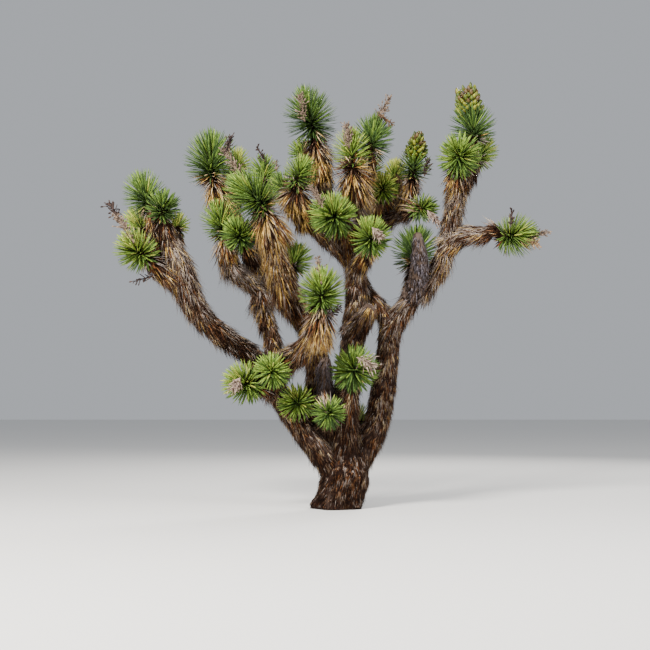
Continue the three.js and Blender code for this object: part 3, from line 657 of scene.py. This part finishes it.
def deal_dead(leaves, room, age, bundles, bleach=0.0, place=None):
    """Deals dead leaves by colour: by chance, from the shares of their age from -1 (oldest) to 5.

    The chance is half noise as wide as a few leaves, so that neighbours look alike. Grey and pale gain on the
    upper sides as painted light, and by bleach, and rust and gold on the undersides as painted shade. Leaves
    without room are left out. The noises are read at the leaves' roots, or at the given place.
    """
    place = leaves["root"] if place is None else place
    patch, difference = LIKE_AGES
    age = np.clip(age + difference * (swell(place / patch, 31) - 0.5), AGES[0], AGES[-1])
    shares = np.stack([np.interp(age, AGES, column) for column in DEAD_SHARES.T], axis=1)
    # Painted light and shade: leaves facing up get more grey and pale, leaves facing down more of the other
    # colours
    top_light_and_bleach = np.clip(0.5 + 0.8 * leaves["out"][:, 2] + bleach, 0, 1.45)[:, None]
    shares *= np.where(TOP_LIT_AND_BLEACHED, 0.35 + 1.4 * top_light_and_bleach, 1.55 - top_light_and_bleach)
    bounds = np.cumsum(shares, axis=1) / shares.sum(axis=1, keepdims=True)
    chance = 0.5 + 1.2 * (swell(place / LIKE_COLOURS, 33) - 0.5) + 0.8 * (rng.random(len(age)) - 0.5)
    colour = (chance.clip(0, 1)[:, None] > bounds[:, :-1]).sum(axis=1)
    deal(leaves, np.where(room, colour, -1), bundles)


# Two tones of one colour, mixed by noise about as fine as a leaf
leaf_tones, given, result = shader_group("leaf tones", ("Dark", "Light"), {"Colour": "NodeSocketColor"})
place = add_node(leaf_tones, "TexCoord").outputs["Object"]
tones = add_node(leaf_tones, "TexNoise", Vector=place, Scale=TONE_SCALE, Detail=3.0)
tone = add_node(leaf_tones, "MapRange", Value=tones.outputs["Fac"], From_Min=LOW_TONE, From_Max=HIGH_TONE)
mixed = colour_mix(leaf_tones, tone.outputs["Result"], given["Dark"], given["Light"])
leaf_tones.links.new(mixed, result["Colour"])

# Thatch
# Leaves that died in past years stay on the limbs, folded back with their tips towards the ground. Low down
# they are short, dark and rusty, towards the tufts longer, paler and shaggier, with dark gaps between clumps.
# Their near black colour, dealt most to the old thatch low down, is partly painted shade
THATCH = {  # leaves to the square metre, shortest and longest leaf, width, tilt off the bark in degrees
    "trunk": (17000, 0.045, 0.095, 0.0085, 16),
    "stem": (11500, 0.060, 0.115, 0.0105, 16),
    "stem_middle": (11000, 0.070, 0.130, 0.0105, 18),
    "stem_inner": (10000, 0.090, 0.150, 0.0105, 24),
    "bough": (8800, 0.100, 0.185, 0.0115, 16),
    "stub": (10000, 0.050, 0.100, 0.0090, 13),
    "stub_inner": (9000, 0.090, 0.170, 0.0090, 20),
    "stub_middle": (10500, 0.080, 0.140, 0.0105, 18),
}
CUFFS = {  # where a sleeve of younger leaves ends and stands off: the distance to the limb's tip, and its age
    "bough_far_left": (0.22, 3.0), "bough_right": (1.02, 1.8), "bough_left_low": (0.18, 2.6),
    "bough_upright_left": (0.55, 1.6), "bough_front": (0.62, 2.6),
}
CUFF_LEAF = (0.110, 0.190, 0.0110, 34)  # as in THATCH, without the count
CUFF_LEAVES = 420
CUFF_WIDTH = 0.035
CUFF_LIFT = 0.01
FOOT_LIFT = 0.010  # how far the thatch stands off the bark at the trunk's foot
LIMB_AGES = {"trunk": (-0.9, -0.3), "stem": (0.0, 1.3)}
LIMB_YOUTH = {  # how much younger than most a limb's thatch looks, or older
    "stem_inner": 1.2, "bough_front": 1.3, "bough_upright_left": 0.5, "bough_far_left": -0.7,
    "bough_right": 0.1, "bough_back_right": -1.6, "stub_middle": -0.7,
}
BLEACH = {  # how much more than most a limb's thatch is bleached by the sun
    "bough_far_left": 0.35, "bough_side_right": 0.45, "bough_right": 0.5, "bough_left_low": 0.8,
    "bough_mid_front": 0.6,
}
TIP_AGES = ((0.0, 0.25, 0.60, 1.40), (2.9, 2.4, 1.8, 0.6))  # of a bough, by the distance to its tip
HANG = 0.35  # how much a dead leaf's own weight bends it down
TUSSOCK = 0.045  # how wide a tussock of thatch is
BARE_SHARE = 0.34
ROOT_DEPTH = 0.003
GROUND_CLEARANCE = 0.006
SHORTEST = 0.015
FLATTEST = 0.05  # how little of a leaf's length has to lead away from the limb
DEEPEST = 0.02  # how deep a leaf may lie in another limb

# Balls along all limbs, by which a leaf is tested for room
solid_points = np.vstack([line["points"][::4] for line in lines.values()])
solid_radii = np.concatenate([limb_radius(name, lines[name]["run"][::4]) for name in LIMBS])
solid_owner = np.repeat(np.arange(len(LIMBS)), [len(line["points"][::4]) for line in lines.values()])


def buried(points, owner, depth):
    """Whether each point lies deeper than some depth inside a limb other than its owner."""
    others = solid_owner != owner
    gap = np.linalg.norm(points[:, None] - solid_points[None, others], axis=2) - solid_radii[None, others]
    return gap.min(axis=1) < -depth


def off_the_limb(forward, out):
    """The directions, turned outwards where they lead into the limb or lie too flat on it."""
    return unit(forward - np.minimum((forward * out).sum(axis=1) - FLATTEST, 0.0)[:, None] * out)


def thatch(line, owner, leaf, distance, angle, radius, past=0.0):
    """Dead leaves at some distances along a line, or past its end, and angles round it, folded back off it.

    Their tilt off the bark and their sway sideways follow a noise as wide as a tussock, plus chance, and where
    that noise is low the bark is bare. Their weight bends them down, but not into the bark, and close to the
    ground they are shorter. Returns the leaves, and which of them have room.
    """
    count = len(distance)
    shortest, longest, width, tilt = leaf
    out = unit(round_line(angle, read(line, "side", distance), read(line, "up", distance)))
    root = read(line, "points", distance) + (radius - ROOT_DEPTH)[:, None] * out
    root += np.broadcast_to(past, count)[:, None] * line["forward"][-1]
    tussock = swell(root / TUSSOCK, 21)
    sway = 0.55 * (swell(root / (2 * TUSSOCK), 22) - 0.5) + rng.normal(0, 0.17, count)
    tilt = np.radians(tilt * (0.35 + 1.1 * tussock) + rng.normal(0, 5, count)).clip(0.03, 0.80)
    along = read(line, "forward", distance)
    back = unit(-along + sway[:, None] * np.cross(along, out))
    forward = unit(np.cos(tilt)[:, None] * back + np.sin(tilt)[:, None] * out - np.array([0.0, 0.0, HANG]))
    forward = off_the_limb(forward, out)
    length = rng.uniform(shortest, longest, count) * (0.75 + 0.5 * tussock)
    length = np.minimum(length, 0.85 * (root[:, 2] - GROUND_CLEARANCE) / np.maximum(-forward[:, 2], 0.2))
    leaves = daggers(root, forward, out, length, (width, 0.75, 1.25), (-0.02, 0.12), 0.14)
    bare = swell(root / (0.7 * TUSSOCK), 23) <= BARE_SHARE
    return leaves, ~bare & (length > SHORTEST) & ~buried(root, owner, DEEPEST)


STUB_COLOURS = [
    ("dark", (0.012, 0.007, 0.005), (0.042, 0.026, 0.020)),
    ("brown", (0.075, 0.044, 0.030), (0.190, 0.120, 0.080)),
    ("grey", (0.108, 0.092, 0.106), (0.264, 0.232, 0.260)),
]
STUB_SHARES = {  # the dark and the brown share of a bare stub's thatch, the rest being grey
    "stub_grey": (0.45, 0.08), "stub_inner": (0.22, 0.36),
}
thatch_bundles = [[] for _ in DEAD_COLOURS]
stub_bundles = [[] for _ in STUB_COLOURS]
for number, name in enumerate(LIMBS):
    kind = name.split("_")[0]
    line = lines[name]
    length = line["run"][-1]
    per_area, *leaf = THATCH.get(name, THATCH[kind])
    rise = max(TIP_DOMES.get(name, 0.0), 0.0) * float(bark_radius(name, length))
    count = int(per_area * 2 * math.pi * float(bark_radius(name, line["run"]).mean()) * (length + rise))
    distance = spread(length + rise, count)
    angle = spiral(count, 0.3)
    past = np.maximum(distance - length, 0.0)
    distance = np.minimum(distance, length)
    radius = bark_radius(name, distance) * np.sqrt(1 - (past / max(rise, MM))**2)
    if name == "trunk":
        factor, flare = root_flare(distance, angle)
        radius = radius * factor + flare + FOOT_LIFT
    leaves, room = thatch(line, number, leaf, distance, angle, radius, past)
    if name in STUB_SHARES:
        dark, brown = STUB_SHARES[name]
        shade = rng.random(count) + 0.35 * (distance / length - 0.6)
        deal(leaves, np.where(room, np.digitize(shade, (dark, dark + brown)), -1), stub_bundles)
        continue
    age = np.interp(length - distance, *TIP_AGES)
    if kind in LIMB_AGES:
        age = np.interp(distance / length, (0, 1), LIMB_AGES[kind])
    bleach = BLEACH.get(name, 0.0)
    deal_dead(leaves, room, age + LIMB_YOUTH.get(name, 0.0), thatch_bundles, bleach)
    if name in CUFFS:
        to_tip, age = CUFFS[name]
        distance = length - to_tip + rng.normal(0, CUFF_WIDTH, CUFF_LEAVES)
        radius = bark_radius(name, distance) + CUFF_LIFT
        leaves, room = thatch(line, number, CUFF_LEAF, distance, spiral(CUFF_LEAVES), radius)
        deal_dead(leaves, room, np.full(CUFF_LEAVES, age), thatch_bundles, bleach)

# Tufts
# A joshua tree's leaves grow in a ball round the end of each branch: stiff green daggers of about 20 cm. Under
# the ball the leaves that died last hang as a golden skirt from the neck of the stem, over older thatch.
LEAVES_PER_AREA = 6000
# The heart: an inner ball of short leaves in a near black green, painted shade for the shadow inside the ball
HEART_LEAVES_PER_AREA = 3200
LEAF_TIPS = (0.98, 1.15)  # the nearest and furthest tips from the middle of the ball, in reaches
HEART_TIPS = (0.40, 0.62)
LEAF_WIDTH = 0.0170
TOP_LEAN = 4  # how far the top leaf leans off the axis, in degrees, and how much further the lowest one does
LEAN_RANGE = 134
TOP_ROOT = 0.10  # where leaves are rooted along the axis and how far off it, in reaches
ROOT_RUN = 0.86
ROOT_RADIUS = 0.14
DROP = 0.28  # how far the ball is drawn out down its stem, in reaches
DROPS = {"middle_1": 0.60, "middle_6": 0.45, "far_left_2": -0.05}
LOWER_SPREAD = {"back_4": 0.15}  # how much further a ball's lowest leaves reach than its top ones
SHARED_SPACE = 0.02  # how far leaves of neighbouring balls grow into each other, in square metres
NECK = 0.95  # how far under the middle of the ball the skirt starts, in reaches
NECK_RADIUS = 0.046
ACROSS = (0.3, 1.0, 0.2)
TONE_BOUNDS = (0.22, 0.52, 0.85)  # between the four greens
DYING_FROM = 0.86  # the share of the way down a ball from which half of the leaves are dying
DYING_AGE = 3.6
SKIRT_LEAVES = 330
SKIRT_HEIGHT = 0.26
SKIRT_LENGTH = 0.20
SKIRT_WIDTH = 0.0135
SKIRT_FLARE = ((0, 0.15, 0.25, 0.5, 1), (100, 72, 46, 30, 16))
SKIRT_LENGTHS = ((0, 0.15, 0.25), (0.45, 0.65, 1.0))
# A skirt's top, under the ball, is dealt dark colours: painted shade under the ball, with the brown bases of
# the leaves
SKIRT_COLOURS = ((0, 0.14, 0.22, 0.4, 1), (0.3, 0.7, 2.7, 4.2, 3.7))
STEM_AGES = ((0.0, 0.15, 0.35), (3.4, 2.6, 2.0))  # of a stem's thatch, by the distance under the neck
SKIRT_HANG = 0.14
SKIRT_FANS = {  # how much wider a skirt spreads than most
    "middle_5": 1.4, "middle_2": 1.4, "left_3": 1.1, "right_4": 0.5, "far_left_2": 0.7,
}
STRAYS = {  # dead leaves that stick out of a ball: the way they point, how many and how long
    "back_5": ((-0.93, 0.0, 0.37), 20, 0.27),
    "right_4": ((0.80, -0.1, -0.60), 16, 0.20),
    "low_4": ((-0.30, -0.10, 0.92), 24, 0.19),
}
STRAY_AGE = 3.8
STRAY_WIDTH = 0.012

for name, tuft in tufts.items():
    tuft["name"] = name
    tuft["drop"] = DROPS.get(name, DROP)
    tuft["neck"] = NECK + 0.8 * (tuft["drop"] - DROP)
tuft_centres = np.array([tuft["centre"] for tuft in tufts.values()])
tuft_reaches = np.array([tuft["reach"] for tuft in tufts.values()])


def in_own_space(points, number):
    """Whether each point lies on its tuft's side of each plane between two balls, or not far past it."""
    power = np.linalg.norm(points[:, None] - tuft_centres[None], axis=2)**2 - tuft_reaches[None]**2
    return power[:, number] < power.min(axis=1) + SHARED_SPACE


def stem_radius(tuft, distance):
    """A tuft's stem: as stout as its limb at the root, narrow at the neck, and ending in the ball's heart."""
    line, reach = tuft["line"], tuft["reach"]
    middle = line["run"][-1] - BUD_AHEAD * reach
    neck = max(middle - tuft["neck"] * reach, 0.03)
    places = (0, 0.60 * neck, neck, middle - 0.3 * reach, middle + 0.1 * reach, line["run"][-1])
    return np.interp(distance, places,
                     (0.90 * tuft["radius"], 0.82 * tuft["radius"], NECK_RADIUS, 0.034, 0.016, 0.006))


def ball_leaves(tuft, per_area, tips):
    """Leaves round the end of a tuft's stem by the golden angle, from straight ahead to backwards.

    Their roots run down the stem from the middle of the ball, and their tips end the given reaches from that
    middle. Returns the leaves and each one's share of the way down.
    """
    axis, reach, centre = tuft["axis"], tuft["reach"], tuft["centre"]
    count = int(per_area * reach**2)
    share = (np.arange(count) + 0.5) / count
    lean = np.radians(TOP_LEAN + LEAN_RANGE * share**0.8 + rng.normal(0, 4, count))
    round_axis = round_line(spiral(count, 0.12), *square_to(axis, ACROSS))
    root = (centre + ((TOP_ROOT - ROOT_RUN * share) * reach)[:, None] * axis
            + (ROOT_RADIUS * reach * np.sin(lean))[:, None] * round_axis)
    tip_reach = reach * rng.uniform(*tips, count) * (1.0 + LOWER_SPREAD.get(tuft["name"], 0.0) * share)
    tip = centre + tip_reach[:, None] * (np.cos(lean)[:, None] * axis + np.sin(lean)[:, None] * round_axis)
    tip -= (tuft["drop"] * reach * share**2)[:, None] * axis
    leaves = daggers(root, unit(tip - root), np.broadcast_to(axis, root.shape),
                     np.linalg.norm(tip - root, axis=1), (LEAF_WIDTH, 0.85, 1.15), (0.0, 0.035), 0.03)
    return leaves, share


green_bundles = [[] for _ in GREENS]
heart_bundles = []
skirt_bundles = [[] for _ in DEAD_COLOURS]
for number, (name, tuft) in enumerate(tufts.items()):
    line, reach = tuft["line"], tuft["reach"]
    leaves, share = ball_leaves(tuft, LEAVES_PER_AREA, LEAF_TIPS)
    tip = leaves["root"] + leaves["length"][:, None] * leaves["forward"]
    room = in_own_space(tip, number)
    for test in (0.6, 1.0):
        room &= ~buried(leaves["root"] + test * (tip - leaves["root"]), -1, 0.0)
    tone = (0.46 - 0.12 * share + 0.16 * leaves["forward"][:, 2] + rng.normal(0, 0.18, len(share))
            + tuft["yellow"])
    dying = room & (share > DYING_FROM) & (rng.random(len(share)) < 0.5)
    deal(leaves, np.where(room & ~dying, np.digitize(tone, TONE_BOUNDS), -1), green_bundles)
    deal_dead(leaves, dying, DYING_AGE + tuft["gold"] * share, skirt_bundles, place=tip)
    if name in STRAYS:
        way, count, longest = STRAYS[name]
        leaves = daggers(tuft["centre"] + rng.normal(0, 0.02, (count, 3)),
                         unit(np.array(way) + rng.normal(0, 0.17, (count, 3))),
                         np.broadcast_to(np.array([0.0, -0.6, 0.8]), (count, 3)),
                         longest * rng.uniform(0.8, 1.1, count), (STRAY_WIDTH, 1, 1), (-0.12, 0.08), 0.05)
        deal_dead(leaves, True, np.full(count, STRAY_AGE), skirt_bundles,
                  place=leaves["root"] + 0.1 * leaves["forward"])
    heart_bundles.append(ball_leaves(tuft, HEART_LEAVES_PER_AREA, HEART_TIPS)[0])

    size = tuft["skirt"]
    count = int(SKIRT_LEAVES * size**1.5)
    neck = line["run"][-1] - (BUD_AHEAD + tuft["neck"]) * reach
    share = spread(1.0, count)
    distance = np.maximum(neck + 0.15 * reach - SKIRT_HEIGHT * size * share**1.3, 0.0)
    out = unit(round_line(spiral(count, 0.25), read(line, "side", distance), read(line, "up", distance)))
    root = read(line, "points", distance) + 0.8 * stem_radius(tuft, distance)[:, None] * out
    flare = np.radians(SKIRT_FANS.get(name, 1.0) * np.interp(share, *SKIRT_FLARE) + rng.normal(0, 7, count))
    forward = unit(np.cos(flare)[:, None] * -read(line, "forward", distance) + np.sin(flare)[:, None] * out
                   - np.array([0.0, 0.0, SKIRT_HANG]))
    forward = off_the_limb(forward, out)
    length = SKIRT_LENGTH * (reach / 0.2)**0.5 * size**0.5 * rng.uniform(0.75, 1.15, count)
    length *= np.interp(share, *SKIRT_LENGTHS)
    leaves = daggers(root, forward, out, length, (SKIRT_WIDTH, 0.75, 1.2), (-0.16, 0.10), 0.12)
    room = ~buried(root + 0.7 * length[:, None] * forward, -1, DEEPEST)
    deal_dead(leaves, room, np.interp(share, *SKIRT_COLOURS) + tuft["gold"], skirt_bundles)

    bare = max(neck - 0.03, 0.0)
    per_area, *leaf = THATCH["bough"]
    count = int(per_area * 2 * math.pi * 0.75 * tuft["radius"] * bare)
    distance = spread(bare, count)
    angle = spiral(count, 0.3)
    if count:
        leaves, room = thatch(line, -1, leaf, distance, angle, stem_radius(tuft, distance))
        deal_dead(leaves, room, np.interp(neck - distance, *STEM_AGES) + tuft["gold"], thatch_bundles)

tuft_nodes = [f"tuft_{name}" for name in tufts]
for (name, dark, light), bundles in zip(GREENS, green_bundles):
    skin = leaf_material(f"{name} green leaf", dark, light, roughness=0.60, gloss=0.20)
    leaf_pieces(f"leaves_{name}_green", skin, "foliage", tuft_nodes, LONG_BLADE, bundles)
# Painted shade: the heart leaves are coloured near black green where the inside of each ball lies in shadow
heart = leaf_material("painted shade leaf heart", (0.012, 0.022, 0.005), (0.040, 0.060, 0.012), roughness=0.6)
leaf_pieces("painted_shade_hearts", heart, "foliage", tuft_nodes, SPIKE, heart_bundles)
for (name, dark, light), skirts, thatches in zip(DEAD_COLOURS, skirt_bundles, thatch_bundles):
    skin = leaf_material(f"{name} dead leaf", dark, light, roughness=0.8)
    leaf_pieces(f"skirts_{name}", skin, "foliage", tuft_nodes, SHORT_BLADE, skirts)
    leaf_pieces(f"thatch_{name}", skin, "bark", list(LIMBS), SPIKE, thatches)
for (name, dark, light), bundles in zip(STUB_COLOURS, stub_bundles):
    skin = leaf_material(f"{name} stub leaf", dark, light, roughness=0.85)
    leaf_pieces(f"stub_thatch_{name}", skin, "grey_wood", list(STUB_SHARES), SPIKE, bundles)

# Stems of the tufts
# Under its leaves each tuft stands on a stem of soft wood, like the bough's, that narrows to the neck.
STEM_SIDES = 16
STEM_ROWS = 26
stem_rings, stem_grain = [], []
angle = turn(STEM_SIDES)
for tuft in tufts.values():
    line = tuft["line"]
    rows = np.linspace(0, len(line["run"]) - 1, STEM_ROWS).round().astype(int)
    distance = line["run"][rows]
    radius = stem_radius(tuft, distance)[:, None]
    out = round_line(angle, line["side"][rows][:, None], line["up"][rows][:, None])
    stem_rings.append(line["points"][rows][:, None] + radius[..., None] * out)
    stem_grain.append(grain_places(radius, angle, distance[:, None] * np.ones_like(angle)))
stems = piece("tuft_stems", bark, "bark", tuft_nodes, *closed_tubes(np.array(stem_rings)))
stem_grain = closed_tubes(np.array(stem_grain))[0]
set_grain(stems, stem_grain, np.full(len(stem_grain), 0.5))

# Flower heads
# Two tufts carry a head of waxy buds, packed round a short stalk, pale green with brown bracts at its top.
# The head's height and width, its buds, and its width at the top as a share.
HEADS = {"right_1": (0.300, 0.285, 92, 0.62), "back_4": (0.250, 0.245, 58, 0.30)}
HEAD_BASE = 0.30
BUD_LENGTH = 0.072
BUD_WIDTH = 0.041
BUD_PLACES = np.array([0.0, 0.18, 0.45, 0.75, 0.93])
BUD_WIDTHS = np.array([0.30, 0.78, 1.0, 0.74, 0.34])
BUD_SIDES = 7
BUD_SIZES = (0.8, 1.15)  # the least and the most of a length, and of a width, by chance
BUD_GIRTHS = (0.8, 1.1)
BUD_LEANS = (88, 14)  # off the stalk, in degrees, at the head's foot and at its top
BUD_TONES = (0.45, 0.88)  # between the three colours


def buds(root, forward, length, width):
    """Waxy buds: rings of the bud's profile round a line from the root along forward, closed at both ends."""
    out = round_line(turn(BUD_SIDES), *square_to(forward[:, None, None], (0.31, 0.17, 0.94)))
    centres = root[:, None] + (length[:, None] * BUD_PLACES)[..., None] * forward[:, None]
    rings = centres[:, :, None] + (0.5 * width[:, None] * BUD_WIDTHS)[:, :, None, None] * out
    return closed_tubes(rings, np.stack([root, root + length[:, None] * forward], axis=1))


BUD_COLOURS = [
    ("pale", (0.088, 0.106, 0.008), (0.250, 0.258, 0.028)),
    ("green", (0.024, 0.040, 0.004), (0.108, 0.138, 0.012)),
    ("brown", (0.030, 0.017, 0.005), (0.130, 0.080, 0.022)),
]
bud_bundles = [[] for _ in BUD_COLOURS]
for name, (height, width, count, top) in HEADS.items():
    tuft = tufts[name]
    axis = tuft["axis"]
    share = (np.arange(count) + 0.5) / count
    round_axis = round_line(spiral(count), *square_to(axis, ACROSS))
    lean = np.radians(np.interp(share, (0, 1), BUD_LEANS) + rng.normal(0, 7, count))
    forward = np.cos(lean)[:, None] * axis + np.sin(lean)[:, None] * round_axis
    length = BUD_LENGTH * rng.uniform(*BUD_SIZES, count)
    wide = 0.5 * width * np.interp(share, (0.0, 0.2, 0.5, 1.0), (0.8, 1.0, 0.7 + 0.3 * top, top))
    base = tuft["centre"] + HEAD_BASE * tuft["reach"] * axis
    root = (base + (share * (height - 0.05))[:, None] * axis
            + np.maximum(wide - 0.9 * length * np.sin(lean), 0.004)[:, None] * round_axis)
    colour = np.digitize(rng.random(count) + 0.70 * (share - 0.50), BUD_TONES)
    width = BUD_WIDTH * rng.uniform(*BUD_GIRTHS, count)
    deal({"root": root, "forward": forward, "length": length, "width": width}, colour, bud_bundles)
for (name, dark, light), bundles in zip(BUD_COLOURS, bud_bundles):
    skin = leaf_material(f"{name} bud", dark, light, roughness=0.45, gloss=0.35)
    piece(f"buds_{name}", skin, "flowering_foliage", [f"tuft_{owner}" for owner in HEADS],
          *buds(**joined(bundles)))

# Dried flower stalks
# Flower stalks of past years still stand or hang on some tufts: a rod, thick with curled twigs, many of which
# end in an empty, split fruit. The tuft, the rod's two ends, its width, its twigs, the longest one, its colour.
DRIED = [
    ("far_left_3", (-1850, -620, 2440), (-2060, -420, 2730), 20, 100, 65, "pink"),
    ("far_left_3", (-2020, -450, 2690), (-2130, -340, 2840), 20, 60, 60, "dark"),
    ("far_left_3", (-1540, -340, 2190), (-1880, -400, 2110), 18, 30, 55, "dark"),
    ("left_2", (-860, -500, 3030), (-1070, -400, 3340), 18, 70, 65, "pink"),
    ("left_2", (-1050, -420, 3290), (-990, -380, 3470), 22, 60, 40, "dark"),
    ("left_6", (-730, 800, 3450), (-820, 800, 3610), 20, 24, 32, "dark"),
    ("left_6", (-610, 700, 3330), (-610, 700, 3440), 12, 14, 30, "pink"),
    ("middle_1", (-320, 320, 3760), (-370, 300, 4020), 18, 60, 65, "pink"),
    ("middle_5", (110, -300, 3370), (80, -330, 3580), 18, 70, 65, "pink"),
    ("middle_6", (380, 60, 3710), (500, 40, 3930), 16, 60, 60, "pink"),
    ("middle_6", (400, 30, 3760), (530, -10, 3660), 18, 20, 40, "rust"),
    ("middle_7", (-140, -500, 2780), (-250, -420, 3000), 16, 80, 75, "pink"),
    ("middle_8", (310, -480, 2600), (390, -470, 2510), 12, 80, 75, "pale"),
    ("back_3", (590, 420, 3260), (610, 420, 3110), 18, 46, 55, "rust"),
    ("back_4", (860, 330, 3220), (890, 330, 3380), 14, 44, 36, "dark"),
    ("back_5", (870, 140, 2850), (970, 100, 2730), 12, 44, 60, "pale"),
    ("front_2", (-150, -880, 2040), (-180, -760, 2290), 20, 46, 45, "pink"),
    ("front_2", (-100, -780, 1770), (0, -760, 1830), 14, 36, 42, "dark"),
    ("right_4", (1770, -220, 2520), (1970, -200, 2600), 18, 34, 44, "pink"),
    ("right_4", (1760, -260, 2520), (1860, -260, 2470), 12, 30, 60, "gold"),
    ("right_4", (1620, -280, 2640), (1620, -300, 2790), 22, 34, 26, "dark"),
    ("low_1", (-880, -640, 1220), (-940, -660, 1110), 12, 90, 80, "pale"),
    ("low_5", (165, -650, 1400), (310, -620, 1320), 8, 44, 115, "pale"),
]
DRIED_COLOURS = {
    "pink": ((0.034, 0.021, 0.015), (0.255, 0.185, 0.135)),
    "dark": ((0.010, 0.006, 0.006), (0.075, 0.050, 0.042)),
    "rust": ((0.036, 0.018, 0.010), (0.170, 0.100, 0.056)),
    "pale": ((0.090, 0.055, 0.042), (0.460, 0.350, 0.285)),
    "gold": ((0.120, 0.068, 0.034), (0.360, 0.240, 0.140)),
}
ROD_TAPER = 0.5  # how wide a rod's end is, in widths of its foot
FIRST_TWIG = 0.06  # where twigs start along the rod
TWIG_WIDTH = 0.0090
TWIG_LENGTHS = (0.45, 1.0)  # in lengths of the longest, and how they change along the rod
TWIG_RUN = ((0, 0.5, 1), (1.0, 0.95, 0.55))
TWIG_LEANS = (0.3, 0.9)  # how far twigs lean to the rod's end
TWIG_CURL = 0.30  # how far twigs curl by chance, and sag, in their own lengths
TWIG_SAG = 0.12
BARE_TWIG = 0.7  # how wide a twig without fruit is, in widths of one with it
LONGEST_FRUITED = 65
FRUIT_LENGTH = (0.020, 0.034)
BOW = 0.10  # how far a rod bows, in its lengths, and which way
BOW_WAY = np.array([0.3, 0.0, 1.0])
ROD_POINTS = 6
ROD_SIDES = 7
TWIG_SIDES = 4


def rods(paths, widths, sides):
    """Round rods along short paths of as many points each, closed at both ends."""
    forward = unit(np.gradient(paths, axis=1))
    out = round_line(turn(sides), *square_to(forward[:, :, None], (0.57, 0.31, 0.76)))
    return closed_tubes(paths[:, :, None] + 0.5 * widths[:, :, None, None] * out, paths[:, [0, -1]])


dried_skins = {name: leaf_material(f"{name} dried stalk", dark, light, roughness=0.85)
               for name, (dark, light) in DRIED_COLOURS.items()}
steps = np.linspace(0, 1, ROD_POINTS)[None, :, None]
for number, (owner, foot, tip, width, count, longest, colour) in enumerate(DRIED):
    foot, tip = MM * np.asarray(foot, float), MM * np.asarray(tip, float)
    length = np.linalg.norm(tip - foot)
    along = unit(tip - foot)
    place = np.linspace(FIRST_TWIG, 1.0, count)
    out = round_line(spiral(count, 0.4), *square_to(along, (0.2, 0.9, 0.4)))
    rod, start = (foot + t * (tip - foot) + BOW * length * (t - t**2) * BOW_WAY
                  for t in (steps[0], place[:, None]))
    rod_width = MM * width * np.interp(steps[0, :, 0], (0, 1), (1.0, ROD_TAPER))
    size = (MM * longest * rng.uniform(*TWIG_LENGTHS, count) * np.interp(place, *TWIG_RUN))[:, None]
    lean = rng.uniform(*TWIG_LEANS, count)[:, None]
    twigs = start[:, None] + steps * (size * (0.8 * out + lean * along))[:, None]
    curl = rng.normal(0, TWIG_CURL, (count, 3)) + 0.25 * along - np.array([0, 0, TWIG_SAG])
    twigs += steps**2 * (size * curl)[:, None]
    fruited = longest <= LONGEST_FRUITED
    twig_width = TWIG_WIDTH * (1.0 if fruited else BARE_TWIG)
    parts = [rods(rod[None], rod_width[None], ROD_SIDES),
             rods(twigs, np.full((count, ROD_POINTS), twig_width), TWIG_SIDES)]
    if fruited:
        ends, before = twigs[::2, -1], twigs[::2, -2]
        fruit = rng.uniform(*FRUIT_LENGTH, len(ends))
        parts.append(buds(ends, unit(ends - before), fruit, 0.5 * fruit))
    shifts = np.cumsum([0] + [len(part[0]) for part in parts[:-1]])
    faces = [np.vstack([part[kind] + shift for part, shift in zip(parts, shifts)]) for kind in (1, 2)]
    piece(f"dried_stalk_{number + 1}", dried_skins[colour], "foliage", [f"tuft_{owner}"],
          np.vstack([part[0] for part in parts]), *faces)
